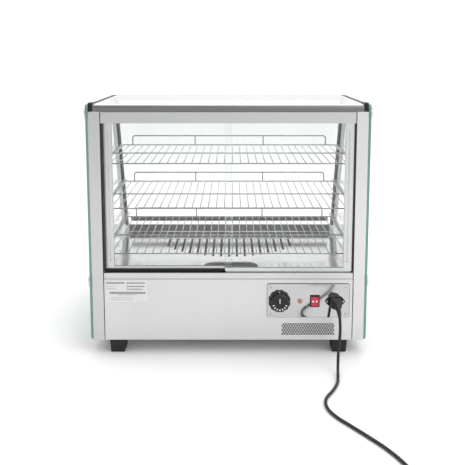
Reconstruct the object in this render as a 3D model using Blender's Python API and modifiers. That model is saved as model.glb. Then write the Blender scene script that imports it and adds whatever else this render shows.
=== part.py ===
"""Hot food display case: a heated counter-top showcase with three wire shelves and sliding rear doors.

X runs to the operator's right and Z runs up. The operator stands at -Y, by the sliding doors and the
controls, and the customer stands at +Y, before the leaning front glass. Z = 0 is the counter that the
feet stand on. A depth is a distance from the rear face of the base, growing towards the customer.
All lengths are in metres.
"""
import math

import bmesh
import bpy
from mathutils import Matrix, Vector

# Driving dimensions
WIDTH = 0.678                 # over the two side glasses
DEPTH = 0.568                 # rear face of the base to the foot of the front
KNOB_STANDS = 0.0209          # how far the thermostat knob stands out behind the rear face
REAR_Y = (KNOB_STANDS - DEPTH) / 2    # so that the case and its knob are centred on the origin
TOP = 0.617                   # top face of the case
FEET_HEIGHT = 0.0345
BASE_BOTTOM = 0.0350
BASE_TOP = 0.1905             # top edge of the rear panel
FLOOR_TOP = 0.168             # the heated deck inside the chamber
LEAN = 0.398                  # how far the front glass leans back for each metre it rises
FRONT_KNEE = 0.117            # height where the upright front turns into the leaning front
GLASS_FOOT = 0.150            # lower edge of the front glass
GLASS_HEAD = 0.5975           # upper edge of the front glass
SIDE_GLASS = 0.006
FRONT_GLASS = 0.005
DOOR_GLASS = 0.004
SHEET = 0.0015                # stainless sheet
GAP = 0.0003                  # clearance between pieces that touch

POST_WIDTH = 0.0277
POST_DEPTH = 0.028
POST_TOP = 0.600
TRACK_HALF = 0.3032           # half length of the door tracks
DOOR_OUTER = 0.3003           # outer edge of a closed door
DOOR_OVERLAP = 0.0082         # how far each door passes the middle
DOOR_SILL = 0.2108
DOOR_HEAD = 0.590
STILE_WIDTH = 0.0198
DOOR_THICK = 0.0074
OUTER_TRACK = 0.008           # depth of the outer door's middle plane
INNER_TRACK = 0.020           # depth of the inner door's middle plane

SHELF_HALF = 0.317
SHELF_NEAR = 0.045
SHELVES = (("top", 0.4706, 0.385), ("middle", 0.358, 0.405), ("bottom", 0.243, 0.432))
SHELF_THICK = 0.003
CROSS_WIRE = 0.0024
EDGE_WIRE = 0.004
CROSS_PITCH = 0.020
GUARD_HEIGHT = 0.0275

KNOB = (0.125, 0.136)         # X and Z of each control
LAMP = (0.1754, 0.136)
SWITCH = (0.2115, 0.136)
INLET = (0.2610, 0.1355)
PLATE_FRONT = -0.0013         # depth of the control plate's outer face

CORD_RADIUS = 0.0035
COIL_CENTRE = (0.290, -0.833)
COIL_RADIUS = 0.0415          # middle of the turns

HALF_INSIDE = WIDTH / 2 - SIDE_GLASS


def clear_scene():
    """Remove what the file holds already."""
    for item in list(bpy.data.objects):
        bpy.data.objects.remove(item, do_unlink=True)


def collection(name):
    """Make a collection and put it in the scene."""
    group = bpy.data.collections.new(name)
    bpy.context.scene.collection.children.link(group)
    return group


def material(name, colour, roughness, metallic=0.0, see_through=0.0):
    """A Principled material."""
    made = bpy.data.materials.new(name)
    made.use_nodes = True
    shader = made.node_tree.nodes["Principled BSDF"]
    shader.inputs["Base Color"].default_value = (*colour, 1.0)
    shader.inputs["Roughness"].default_value = roughness
    shader.inputs["Metallic"].default_value = metallic
    shader.inputs["Transmission Weight"].default_value = see_through
    return made


def at_depth(depth):
    """Y of a depth from the rear face of the base."""
    return REAR_Y + depth


def front_depth(height, inward=0.0):
    """Depth of the leaning front at a height, moved inward along its normal."""
    outer = DEPTH - (height - FRONT_KNEE) * LEAN
    return outer - inward * math.hypot(1.0, LEAN)


clear_scene()
CASE = collection("hot_food_display_case")
CUTTERS = collection("cutters")
STEEL = material("brushed_steel", (0.62, 0.62, 0.61), 0.32, 1.0)
MIRROR_STEEL = material("polished_steel", (0.75, 0.75, 0.75), 0.08, 1.0)
ALUMINIUM = material("aluminium_profile", (0.70, 0.70, 0.70), 0.35, 1.0)
DARK_ALUMINIUM = material("dark_aluminium", (0.30, 0.30, 0.31), 0.40, 1.0)
CHROME = material("chrome", (0.80, 0.80, 0.80), 0.06, 1.0)
CLEAR_GLASS = material("clear_glass", (0.85, 0.95, 0.91), 0.02, 0.0, 1.0)
BLACK_RUBBER = material("black_rubber", (0.02, 0.02, 0.02), 0.70)
BLACK_PLASTIC = material("black_plastic", (0.025, 0.025, 0.027), 0.40)
RED_LENS = material("red_lens", (0.65, 0.01, 0.02), 0.15)
AMBER_LENS = material("amber_lens", (0.75, 0.22, 0.10), 0.15)


# Shape helpers

def place(name, mesh, finish, group=None):
    """Add a mesh to the case, or to another collection, as a named object."""
    made = bpy.data.objects.new(name, mesh)
    (group or CASE).objects.link(made)
    mesh.materials.clear()
    mesh.materials.append(finish)
    return made


def box_mesh(name, low, high):
    """A box between two corners, drawn from a cube primitive."""
    low, high = Vector(low), Vector(high)
    shape = bmesh.new()
    bmesh.ops.create_cube(shape, size=1.0)
    bmesh.ops.scale(shape, vec=high - low, verts=shape.verts)
    bmesh.ops.translate(shape, vec=(low + high) / 2, verts=shape.verts)
    mesh = bpy.data.meshes.new(name)
    shape.to_mesh(mesh)
    shape.free()
    return mesh


def soften(made, width, segments=2):
    """Round an object's edges."""
    bevel = made.modifiers.new("rounded_edges", "BEVEL")
    bevel.width = width
    bevel.segments = segments
    bevel.limit_method = "ANGLE"
    bevel.angle_limit = math.radians(40)


def box(name, x_range, depth_range, z_range, finish, rounding=0.0):
    """A box given by its X, depth and Z ranges."""
    low = (x_range[0], at_depth(depth_range[0]), z_range[0])
    high = (x_range[1], at_depth(depth_range[1]), z_range[1])
    made = place(name, box_mesh(name, low, high), finish)
    if rounding:
        soften(made, rounding)
    return made


def rounded(points, radius, segments=4):
    """An outline whose corners are turned into arcs."""
    outline = []
    count = len(points)
    for index, corner in enumerate(points):
        here = Vector(corner)
        back = (Vector(points[index - 1]) - here).normalized()
        ahead = (Vector(points[(index + 1) % count]) - here).normalized()
        half = back.angle(ahead) / 2
        centre = here + (back + ahead).normalized() * (radius / math.sin(half))
        start = here + back * (radius / math.tan(half)) - centre
        end = here + ahead * (radius / math.tan(half)) - centre
        sweep = start.angle_signed(end)
        for step in range(segments + 1):
            turn = -sweep * step / segments
            outline.append(centre + Matrix.Rotation(turn, 2) @ start)
    return [(point.x, point.y) for point in outline]


def rectangle(centre, size):
    """Corners of a rectangle, counter-clockwise."""
    half_x, half_y = size[0] / 2, size[1] / 2
    signs = ((-1, -1), (1, -1), (1, 1), (-1, 1))
    return [(centre[0] + half_x * sx, centre[1] + half_y * sy) for sx, sy in signs]


def circle(centre, radius, sides):
    """Corners of a regular polygon."""
    turns = (2 * math.pi * step / sides for step in range(sides))
    return [(centre[0] + radius * math.cos(turn), centre[1] + radius * math.sin(turn)) for turn in turns]


FACING = {
    "x": (math.pi / 2, 0.0, math.pi / 2),      # outline in Y and Z, thickness along X
    "y": (math.pi / 2, 0.0, 0.0),              # outline in X and Z, thickness along Y
    "z": (0.0, 0.0, 0.0),                      # outline in X and Y, thickness along Z
}


def plate(name, outline, low, high, facing, finish, holes=(), group=None):
    """A flat outline with holes, extruded from low to high along the facing axis."""
    curve = bpy.data.curves.new(name, "CURVE")
    curve.dimensions = "2D"
    curve.fill_mode = "BOTH"
    curve.extrude = (high - low) / 2
    for ring in (outline, *holes):
        spline = curve.splines.new("POLY")
        spline.points.add(len(ring) - 1)
        for point, corner in zip(spline.points, ring):
            point.co = (*corner, 0.0, 1.0)
        spline.use_cyclic_u = True
    drawn = bpy.data.objects.new(name + "_outline", curve)
    CASE.objects.link(drawn)
    middle = (low + high) / 2
    drawn.rotation_euler = FACING[facing]
    drawn.location = {"x": (middle, 0, 0), "y": (0, middle, 0), "z": (0, 0, middle)}[facing]
    return solid_from_curve(name, drawn, finish, group)


def solid_from_curve(name, drawn, finish, group=None):
    """Turn a curve object into a welded mesh object in its place, and drop the curve."""
    bpy.context.view_layer.update()
    found = drawn.evaluated_get(bpy.context.evaluated_depsgraph_get())
    mesh = bpy.data.meshes.new_from_object(found)
    shape = bmesh.new()
    shape.from_mesh(mesh)
    bmesh.ops.remove_doubles(shape, verts=shape.verts, dist=0.00001)
    bmesh.ops.recalc_face_normals(shape, faces=shape.faces)
    shape.to_mesh(mesh)
    shape.free()
    mesh.name = name
    made = place(name, mesh, finish, group)
    made.matrix_world = drawn.matrix_world.copy()
    bpy.data.objects.remove(drawn, do_unlink=True)
    return made


def join(made, other, operation):
    """Cut an object with another one or unite them, and keep the other as a hidden cutter."""
    for holder in list(other.users_collection):
        holder.objects.unlink(other)
    CUTTERS.objects.link(other)
    other.hide_render = True
    other.display_type = "WIRE"
    change = made.modifiers.new(operation.lower(), "BOOLEAN")
    change.operation = operation
    change.solver = "EXACT"
    change.object = other


def turned(name, profile, finish, location, axis, steps=24):
    """A turned solid. The profile holds (radius, height) pairs down its outer side, from top to bottom."""
    mesh = bpy.data.meshes.new(name)
    points = [(radius, 0.0, height) for radius, height in profile]
    mesh.from_pydata(points, [(i, i + 1) for i in range(len(points) - 1)], [])
    made = place(name, mesh, finish)
    made.location = location
    made.rotation_euler = Vector(axis).to_track_quat("Z", "Y").to_euler()
    screw = made.modifiers.new("turn", "SCREW")
    screw.steps = steps
    screw.render_steps = steps
    screw.use_merge_vertices = True
    screw.merge_threshold = 0.00001
    screw.use_smooth_shade = True
    return made


def wire(name, points, radius, finish, taper=None, sides=2):
    """A round bar along points, with closed ends. A taper gives each point's share of the radius."""
    curve = bpy.data.curves.new(name, "CURVE")
    curve.dimensions = "3D"
    curve.bevel_depth = radius
    curve.bevel_resolution = sides
    curve.use_fill_caps = True
    spline = curve.splines.new("POLY")
    spline.points.add(len(points) - 1)
    for index, (point, place_at) in enumerate(zip(spline.points, points)):
        point.co = (*place_at, 1.0)
        if taper:
            point.radius = taper[index]
    curve.materials.append(finish)
    made = bpy.data.objects.new(name, curve)
    CASE.objects.link(made)
    return made


def smooth_route(points, spacing):
    """Points a given distance apart on a smooth curve through hand-chosen points."""
    route = [Vector(point) for point in points]
    route = [route[0] * 2 - route[1], *route, route[-1] * 2 - route[-2]]
    fine = []
    for index in range(1, len(route) - 2):
        before, start, end, after = route[index - 1:index + 3]
        for step in range(40):
            t = step / 40
            fine.append(0.5 * (2 * start + (end - before) * t
                               + (2 * before - 5 * start + 4 * end - after) * t ** 2
                               + (3 * start - before - 3 * end + after) * t ** 3))
    fine.append(route[-2])
    chosen = [fine[0]]
    travelled = 0.0
    for start, end in zip(fine, fine[1:]):
        travelled += (end - start).length
        if travelled >= spacing:
            chosen.append(end)
            travelled = 0.0
    if (chosen[-1] - fine[-1]).length < spacing / 2:
        chosen.pop()
    chosen.append(fine[-1])
    return chosen


# Base

def base_casing():
    """The folded steel tub under the chamber, open at the rear and under the deck."""
    rear, deck = POST_DEPTH + GAP, FLOOR_TOP - SHEET - GAP
    ledge = 0.014
    foot = front_depth(GLASS_FOOT)
    outline = [(rear, BASE_BOTTOM), (DEPTH, BASE_BOTTOM), (DEPTH, FRONT_KNEE), (foot, GLASS_FOOT - GAP),
               (foot - ledge, GLASS_FOOT - GAP), (foot - ledge, deck), (rear, deck)]
    half = HALF_INSIDE - GAP
    casing = plate("base_casing", [(at_depth(d), z) for d, z in outline], -half, half, "x", STEEL)
    room = [(rear - 0.01, BASE_BOTTOM + SHEET), (DEPTH - SHEET, BASE_BOTTOM + SHEET),
            (DEPTH - SHEET, FRONT_KNEE), (foot - SHEET * 1.2, GLASS_FOOT - GAP - SHEET),
            (foot - ledge - SHEET, GLASS_FOOT - GAP - SHEET), (foot - ledge - SHEET, deck + 0.01),
            (rear - 0.01, deck + 0.01)]
    hollow = plate("casing_room", [(at_depth(d), z) for d, z in room], -half + SHEET, half - SHEET, "x", STEEL)
    join(casing, hollow, "DIFFERENCE")


def vent_holes():
    """Staggered rows of small round holes low on the rear panel."""
    rows, columns = 7, 22
    pitch_x, pitch_z = 0.0060, 0.0053
    left, low = 0.1330, 0.0470
    holes = []
    for row in range(rows):
        shift = pitch_x / 2 if row % 2 else 0.0
        for column in range(columns - row % 2):
            holes.append(circle((left + shift + column * pitch_x, low + row * pitch_z), 0.0017, 6))
    return holes


def control_holes(ease=0.0):
    """The openings for the controls in the plate and in the panel behind it, the latter a little larger."""
    return [circle(KNOB, 0.006 + ease, 12), circle(LAMP, 0.0063 + ease, 12),
            rectangle(SWITCH, (0.0222 + ease, 0.0288 + ease)), rectangle(INLET, (0.0285 + ease, 0.0205 + ease))]


def rear_panel():
    """The steel sheet that closes the base behind the controls, with a flange turned in under the base."""
    half = HALF_INSIDE - POST_WIDTH - 0.0015
    face, back, flange = 0.0005, 0.0020, POST_DEPTH - GAP
    section = [(face, BASE_BOTTOM), (flange, BASE_BOTTOM), (flange, BASE_BOTTOM + SHEET),
               (back, BASE_BOTTOM + SHEET), (back, BASE_TOP), (face, BASE_TOP)]
    panel = plate("rear_panel", [(at_depth(d), z) for d, z in section], -half, half, "x", STEEL)
    first, *others = [*control_holes(0.0004), *vent_holes()]
    holes = plate("panel_holes", first, at_depth(-0.010), at_depth(0.010), "y", STEEL, others)
    join(panel, holes, "DIFFERENCE")


def deck_slots():
    """A cutter of long slots above the heater, shorter towards the sides."""
    pitch, far, width = 0.0226, 0.448, 0.006
    shape = bmesh.new()
    for step in range(-8, 9):
        x = step * pitch
        length = 0.188 * math.sqrt(1 - (x / 0.205) ** 2)
        size = Matrix.Diagonal((width, length, 0.010, 1.0))
        spot = Matrix.Translation((x, at_depth(far - length / 2), FLOOR_TOP))
        bmesh.ops.create_cube(shape, size=1.0, matrix=spot @ size)
    mesh = bpy.data.meshes.new("deck_slots")
    shape.to_mesh(mesh)
    shape.free()
    return place("deck_slots", mesh, MIRROR_STEEL, CUTTERS)


def floor_plate():
    """The polished deck, with a slotted middle and an upright lip at the rear and at the front glass."""
    half = HALF_INSIDE - GAP
    rear, rear_top, front_top = 0.0290, 0.2072, 0.190
    under, front = FLOOR_TOP - SHEET, front_depth(front_top, FRONT_GLASS + 0.0014)
    section = [(rear, under), (front, under), (front, front_top), (front - SHEET, front_top),
               (front - SHEET, FLOOR_TOP), (rear + SHEET, FLOOR_TOP), (rear + SHEET, rear_top),
               (rear, rear_top)]
    deck = plate("floor_plate", [(at_depth(d), z) for d, z in section], -half, half, "x", MIRROR_STEEL)
    join(deck, deck_slots(), "DIFFERENCE")


def feet():
    """Four tapered rubber feet."""
    top, sole, tall = (0.039, 0.046), (0.035, 0.042), FEET_HEIGHT
    for end, depth in (("rear", 0.030), ("front", 0.500)):
        for side, x in (("left", -0.275), ("right", 0.275)):
            name = f"foot_{end}_{side}"
            shape = bmesh.new()
            bmesh.ops.create_cube(shape, size=1.0)
            for corner in shape.verts:
                size = top if corner.co.z > 0 else sole
                corner.co = (corner.co.x * size[0], corner.co.y * size[1], (corner.co.z + 0.5) * tall)
            mesh = bpy.data.meshes.new(name)
            shape.to_mesh(mesh)
            shape.free()
            foot = place(name, mesh, BLACK_RUBBER)
            foot.location = (x, at_depth(depth), 0.0)
            soften(foot, 0.0025)


# Frame

def rear_posts():
    """Two folded steel channels, open towards the customer."""
    outer, inner = HALF_INSIDE - GAP, HALF_INSIDE - POST_WIDTH
    for side, sign in (("left", -1), ("right", 1)):
        xs = sorted((sign * outer, sign * inner))
        post = box(f"rear_post_{side}", xs, (0.0, POST_DEPTH), (BASE_BOTTOM, POST_TOP), STEEL)
        room = box(f"post_room_{side}", (xs[0] + SHEET, xs[1] - SHEET), (SHEET, POST_DEPTH + 0.01),
                   (BASE_BOTTOM - 0.01, POST_TOP + 0.01), STEEL)
        join(post, room, "DIFFERENCE")


def door_tracks():
    """The upper and lower aluminium door tracks, each with two grooves."""
    walls = ((0.0010, 0.0035), (0.0125, 0.0155), (0.0245, 0.0280))
    low, high, web = 0.573, POST_TOP - GAP, 0.594
    section = [(walls[0][0], high), (walls[0][0], low), (walls[0][1], low), (walls[0][1], web),
               (walls[1][0], web), (walls[1][0], low + 0.003), (walls[1][1], low + 0.003), (walls[1][1], web),
               (walls[2][0], web), (walls[2][0], low), (walls[2][1], low), (walls[2][1], high)]
    plate("upper_track", [(at_depth(d), z) for d, z in section], -TRACK_HALF, TRACK_HALF, "x", ALUMINIUM)
    low, web, high = 0.1922, 0.1967, 0.2065
    guide_top = 0.2120
    section = [(-0.0010, low), (0.0280, low), (0.0280, high), (0.0245, high), (0.0245, web), (0.0154, web),
               (0.0154, guide_top), (0.0126, guide_top), (0.0126, web), (0.0035, web), (0.0035, high),
               (-0.0010, high)]
    plate("lower_track", [(at_depth(d), z) for d, z in section], -TRACK_HALF, TRACK_HALF, "x", ALUMINIUM)


def door_buffers():
    """Dark strips on the posts that the closed doors meet."""
    for side, sign in (("left", -1), ("right", 1)):
        xs = sorted((sign * (DOOR_OUTER + GAP), sign * (HALF_INSIDE - POST_WIDTH - GAP)))
        box(f"door_buffer_{side}", xs, (0.0015, 0.0275), (0.2125, 0.5725), BLACK_RUBBER)


def top_frame():
    """The dark rear rail, its black corner blocks and the rail above the front glass."""
    round_back = 0.009
    height, rail_depth = TOP - POST_TOP - GAP, 0.030
    arc = [(round_back * (1 - math.cos(t)), height - round_back * (1 - math.sin(t)))
           for t in (math.radians(15 * step) for step in range(7))]
    section = [(at_depth(d), POST_TOP + GAP + z) for d, z in ((0.0, 0.0), *arc, (rail_depth, height),
                                                             (rail_depth, 0.0))]
    plate("top_rear_rail", section, -0.3214, 0.3214, "x", DARK_ALUMINIUM)
    for side, sign in (("left", -1), ("right", 1)):
        xs = sorted((sign * 0.3217, sign * (HALF_INSIDE - GAP)))
        box(f"corner_block_{side}", xs, (0.0, 0.030), (POST_TOP + GAP, 0.622), BLACK_PLASTIC, 0.002)
    top, bottom = TOP - 0.0005, GLASS_HEAD + GAP
    section = [(0.3438, top), (0.3438, bottom), (front_depth(bottom), bottom), (front_depth(top), top)]
    plate("top_front_rail", [(at_depth(d), z) for d, z in section], -0.3239, 0.3239, "x", ALUMINIUM)


# Glass

def side_glasses():
    """The two side panes, each held by three chrome caps."""
    corners = [(0.0, BASE_BOTTOM), (DEPTH, BASE_BOTTOM), (DEPTH, FRONT_KNEE),
               (front_depth(TOP + 0.001), TOP + 0.001), (0.0, TOP + 0.001)]
    outline = rounded([(at_depth(d), z) for d, z in corners], 0.010)
    caps = (("rear_top", 0.022, 0.596), ("rear_bottom", 0.022, 0.180), ("front_bottom", 0.520, 0.085))
    holes = [circle((at_depth(depth), z), 0.0045, 10) for _, depth, z in caps]
    dome = [(0.0, 0.0070), (0.006, 0.0068), (0.012, 0.0055), (0.0155, 0.0035), (0.017, 0.0006), (0.017, 0.0),
            (0.0040, 0.0), (0.0040, -0.0058), (0.0, -0.0058)]
    for side, sign in (("left", -1), ("right", 1)):
        xs = sorted((sign * HALF_INSIDE, sign * WIDTH / 2))
        plate(f"side_glass_{side}", outline, xs[0], xs[1], "x", CLEAR_GLASS, holes)
        for spot, depth, z in caps:
            turned(f"glass_cap_{spot}_{side}", dome, CHROME, (sign * (WIDTH / 2 + GAP), at_depth(depth), z),
                   (sign, 0, 0), 20)


def leaning(low, high, near, far):
    """A strip of the leaning front between two heights and two distances behind its outer face."""
    return [(at_depth(front_depth(low, far)), low), (at_depth(front_depth(low, near)), low),
            (at_depth(front_depth(high, near)), high), (at_depth(front_depth(high, far)), high)]


def front_and_top_glass():
    """The leaning front pane and the flat top pane."""
    plate("front_glass", leaning(GLASS_FOOT, GLASS_HEAD, 0.0, FRONT_GLASS), -0.3239, 0.3239, "x", CLEAR_GLASS)
    box("top_glass", (-0.3239, 0.3239), (0.0303, 0.3435), (TOP - FRONT_GLASS, TOP), CLEAR_GLASS)


def glass_seals():
    """Black strips that fill the corners between the side panes and the top and front panes."""
    thick = FRONT_GLASS + 0.001
    outline = [(0.0303, TOP), (front_depth(TOP), TOP), (front_depth(GLASS_FOOT), GLASS_FOOT),
               (front_depth(GLASS_FOOT, thick), GLASS_FOOT), (front_depth(TOP - thick, thick), TOP - thick),
               (0.0303, TOP - thick)]
    for side, sign in (("left", -1), ("right", 1)):
        xs = sorted((sign * 0.3242, sign * (HALF_INSIDE - GAP)))
        plate(f"glass_seal_{side}", [(at_depth(d), z) for d, z in outline], xs[0], xs[1], "x", BLACK_RUBBER)


# Doors

def door(side, sign, track):
    """One sliding door: its pane, and the frame of a stile with a finger groove and a foot rail."""
    stile_inner = DOOR_OUTER - STILE_WIDTH
    rail_top = DOOR_SILL + 0.0075
    xs = sorted((sign * (stile_inner - GAP), -sign * DOOR_OVERLAP))
    box(f"door_{side}_glass", xs, (track - DOOR_GLASS / 2, track + DOOR_GLASS / 2),
        (rail_top + GAP, DOOR_HEAD), CLEAR_GLASS)
    outline = [(-sign * DOOR_OVERLAP, DOOR_SILL), (sign * DOOR_OUTER, DOOR_SILL),
               (sign * DOOR_OUTER, DOOR_HEAD), (sign * stile_inner, DOOR_HEAD),
               (sign * stile_inner, rail_top), (-sign * DOOR_OVERLAP, rail_top)]
    low, high = at_depth(track - DOOR_THICK / 2), at_depth(track + DOOR_THICK / 2)
    frame = plate(f"door_{side}_frame", outline, low, high, "y", ALUMINIUM)
    ends = sorted((-sign * (DOOR_OVERLAP - 0.002), sign * (DOOR_OUTER - 0.002)))
    runner = box(f"runner_{side}", ends, (track - 0.0015, track + 0.0015), (0.1985, DOOR_SILL + 0.002), ALUMINIUM)
    join(frame, runner, "UNION")
    groove = rounded(rectangle((sign * 0.2872, 0.3935), (0.0060, 0.323)), 0.0028, 3)
    finger = plate(f"finger_groove_{side}", groove, low - 0.005, low + 0.0035, "y", ALUMINIUM)
    join(frame, finger, "DIFFERENCE")


# Shelves

def shelf(name, height, far):
    """A wire shelf: a rim, a middle wire and close cross wires from near to far."""
    near_y, far_y = at_depth(SHELF_NEAR), at_depth(far)
    middle_y = at_depth(0.220)
    outline = rounded([(-SHELF_HALF, near_y), (SHELF_HALF, near_y), (SHELF_HALF, far_y), (-SHELF_HALF, far_y)],
                      0.012, 3)
    bays = ((near_y + EDGE_WIRE, middle_y - EDGE_WIRE / 2), (middle_y + EDGE_WIRE / 2, far_y - EDGE_WIRE))
    windows = []
    count = 31
    for bay in range(count):
        left = (bay - count / 2) * CROSS_PITCH + CROSS_WIRE / 2
        right = left + CROSS_PITCH - CROSS_WIRE
        for low, high in bays:
            windows.append([(left, low), (right, low), (right, high), (left, high)])
    plate(f"shelf_{name}", outline, height - SHELF_THICK, height, "z", CHROME, windows)


def guard(name, height, far):
    """The raised wire rail along a shelf's far edge, on four posts."""
    low, high, wide = height + GAP, height + GUARD_HEIGHT, 0.0035
    posts = (-0.283, -0.100, 0.100, 0.283)
    outline = [(posts[0] - wide / 2, high - 0.006), (posts[0] + 0.005, high), (posts[-1] - 0.005, high),
               (posts[-1] + wide / 2, high - 0.006)]
    for index in reversed(range(len(posts))):
        post = posts[index]
        outline += [(post + wide / 2, low), (post - wide / 2, low)]
        if index:
            outline += [(post - wide / 2, high - wide), (posts[index - 1] + wide / 2, high - wide)]
    middle = at_depth(far - EDGE_WIRE / 2)
    plate(f"guard_{name}", outline, middle - wide / 2, middle + wide / 2, "y", CHROME)


def shelf_supports():
    """A dark upright along each side of the front glass, and an arm under each end of each shelf."""
    behind = 0.0015
    thick = 0.0040
    for side, sign in (("left", -1), ("right", 1)):
        xs = sorted((sign * 0.3245, sign * (0.3245 + thick)))
        strip = leaning(0.1915, 0.585, FRONT_GLASS + behind, FRONT_GLASS + behind + 0.012)
        plate(f"front_upright_{side}", strip, xs[0], xs[1], "x", BLACK_PLASTIC)
        for name, height, _ in SHELVES:
            under = height - SHELF_THICK - GAP
            reach = front_depth(height, FRONT_GLASS + behind + 0.012) - 0.002
            section = [(sign * 0.3095, under), (sign * 0.3242, under), (sign * 0.3242, under - 0.012),
                       (sign * 0.3227, under - 0.012), (sign * 0.3227, under - 0.0015),
                       (sign * 0.3095, under - 0.0015)]
            plate(f"shelf_arm_{name}_{side}", section, at_depth(POST_DEPTH + GAP), at_depth(reach), "y", STEEL)


def water_pan():
    """The lift-out water pan that keeps the food moist, just inside the doors."""
    low, high, wall = FLOOR_TOP + GAP, 0.196, 0.0015
    middle = (0.006, at_depth(0.088))
    pan = plate("water_pan", rounded(rectangle(middle, (0.140, 0.075)), 0.030, 6), low, high, "z", MIRROR_STEEL)
    size = (0.140 - 2 * wall, 0.075 - 2 * wall)
    room = plate("pan_room", rounded(rectangle(middle, size), 0.030 - wall, 6), low + wall, high + 0.01, "z",
                 MIRROR_STEEL)
    join(pan, room, "DIFFERENCE")


def heating_element():
    """The tubular heater in the base, a flat hairpin under the slots."""
    height, reach, bend = 0.146, 0.150, 0.045
    middle = 0.350
    points = [(-reach, at_depth(middle - bend), height)]
    for step in range(13):
        turn = math.pi * (step / 12 - 0.5)
        points.append((reach + bend * math.cos(turn), at_depth(middle + bend * math.sin(turn)), height))
    points.append((-reach, at_depth(middle + bend), height))
    wire("heating_element", points, 0.004, DARK_ALUMINIUM)


# Controls

def control_plate():
    """The polished plate that carries the knob, lamp, switch and inlet."""
    outline = rounded(rectangle((0.1955, 0.1365), (0.201, 0.085)), 0.005)
    plate("control_plate", outline, at_depth(PLATE_FRONT), at_depth(0.0002), "y", MIRROR_STEEL, control_holes())


def thermostat():
    """The thermostat behind the panel with its shaft, and the knob that turns on it."""
    x, z = KNOB
    body = box("thermostat_body", (x - 0.016, x + 0.016), (0.0035, 0.030), (z - 0.0165, z + 0.0165), STEEL)
    shaft = turned("thermostat_shaft", [(0.0, 0.017), (0.003, 0.017), (0.003, 0.0), (0.0, 0.0)], STEEL,
                   (x, at_depth(0.0055), z), (0, -1, 0), 12)
    join(body, shaft, "UNION")
    profile = [(0.0, 0.0190), (0.0195, 0.0190), (0.0215, 0.0182), (0.0235, 0.0055), (0.0262, 0.0040),
               (0.0275, 0.0018), (0.0275, 0.0), (0.0034, 0.0), (0.0034, 0.0125), (0.0, 0.0125)]
    turned("thermostat_knob", profile, BLACK_PLASTIC, (x, at_depth(PLATE_FRONT - 0.0006), z), (0, -1, 0), 36)


def pilot_lamp():
    """The round amber lamp."""
    profile = [(0.0, 0.0046), (0.0035, 0.0042), (0.0058, 0.0030), (0.0070, 0.0014), (0.0070, 0.0),
               (0.0060, 0.0), (0.0060, -0.020), (0.0, -0.020)]
    turned("pilot_lamp", profile, AMBER_LENS, (LAMP[0], at_depth(PLATE_FRONT - GAP), LAMP[1]), (0, -1, 0), 20)


def mains_switch():
    """The switch housing with its bezel, and the rocker in it."""
    x, z = SWITCH
    front = PLATE_FRONT - GAP - 0.0022
    body = box("switch_body", (x - 0.0108, x + 0.0108), (front + 0.0008, 0.024), (z - 0.0141, z + 0.0141),
               BLACK_PLASTIC)
    bezel = box("switch_bezel", (x - 0.01175, x + 0.01175), (front, PLATE_FRONT - GAP), (z - 0.015, z + 0.015),
                BLACK_PLASTIC, 0.0006)
    join(body, bezel, "UNION")
    recess = box("rocker_room", (x - 0.0094, x + 0.0094), (front - 0.01, 0.0105), (z - 0.0122, z + 0.0122),
                 BLACK_PLASTIC)
    join(body, recess, "DIFFERENCE")
    section = [(-0.0112, -0.0012), (-0.0035, 0.0002), (0.0035, 0.0002), (0.0112, -0.0012), (0.0112, 0.0045),
               (0.0030, 0.0085), (-0.0030, 0.0085), (-0.0112, 0.0045)]
    outline = [(depth, height) for height, depth in reversed(section)]
    rocker = plate("switch_rocker", outline, -0.0091, 0.0091, "x", RED_LENS)
    rocker.location = (x, at_depth(front - 0.0008), z)
    rocker.rotation_euler.rotate_axis("Z", math.radians(-7))
    soften(rocker, 0.0004)


def power_inlet():
    """The three-pole appliance inlet with its screw ears."""
    x, z = INLET
    front = PLATE_FRONT - GAP - 0.0022
    ears = [(x - 0.025, z), (x - 0.0215, z - 0.0050), (x - 0.0145, z - 0.012), (x + 0.0145, z - 0.012),
            (x + 0.0215, z - 0.0050), (x + 0.025, z), (x + 0.0215, z + 0.0050), (x + 0.0145, z + 0.012),
            (x - 0.0145, z + 0.012), (x - 0.0215, z + 0.0050)]
    inlet = plate("power_inlet", ears, at_depth(front), at_depth(PLATE_FRONT - GAP), "y", BLACK_PLASTIC)
    body = box("inlet_body", (x - 0.0138, x + 0.0138), (front + 0.0006, 0.024), (z - 0.0099, z + 0.0099),
               BLACK_PLASTIC)
    join(inlet, body, "UNION")
    socket = box("inlet_room", (x - 0.0123, x + 0.0123), (front - 0.01, 0.0165), (z - 0.0084, z + 0.0084),
                 BLACK_PLASTIC)
    join(inlet, socket, "DIFFERENCE")


# Mains lead

LEAD_EXIT = (0.2612, -0.3160, 0.1355)
LEAD_RELIEF = [LEAD_EXIT, (0.2614, -0.3230, 0.1350), (0.2617, -0.3300, 0.1328), (0.2620, -0.3368, 0.1288),
               (0.2622, -0.3425, 0.1228)]
LEAD_ROUTE = [(0.2622, -0.3432, 0.1219), (0.2623, -0.3487, 0.1140), (0.2620, -0.3560, 0.0960),
              (0.2605, -0.3605, 0.0760), (0.2580, -0.3640, 0.0540), (0.2560, -0.3710, 0.0300),
              (0.2535, -0.3840, 0.0120), (0.2500, -0.4030, 0.0042), (0.2450, -0.4300, 0.0038),
              (0.2290, -0.4680, 0.0038), (0.2110, -0.5030, 0.0038), (0.2080, -0.5380, 0.0038),
              (0.2200, -0.5720, 0.0038), (0.2430, -0.6060, 0.0038), (0.2700, -0.6440, 0.0038),
              (0.3000, -0.6900, 0.0038), (0.3200, -0.7320, 0.0038), (0.3320, -0.7700, 0.0038),
              (0.3362, -0.7925, 0.0038)]


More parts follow.
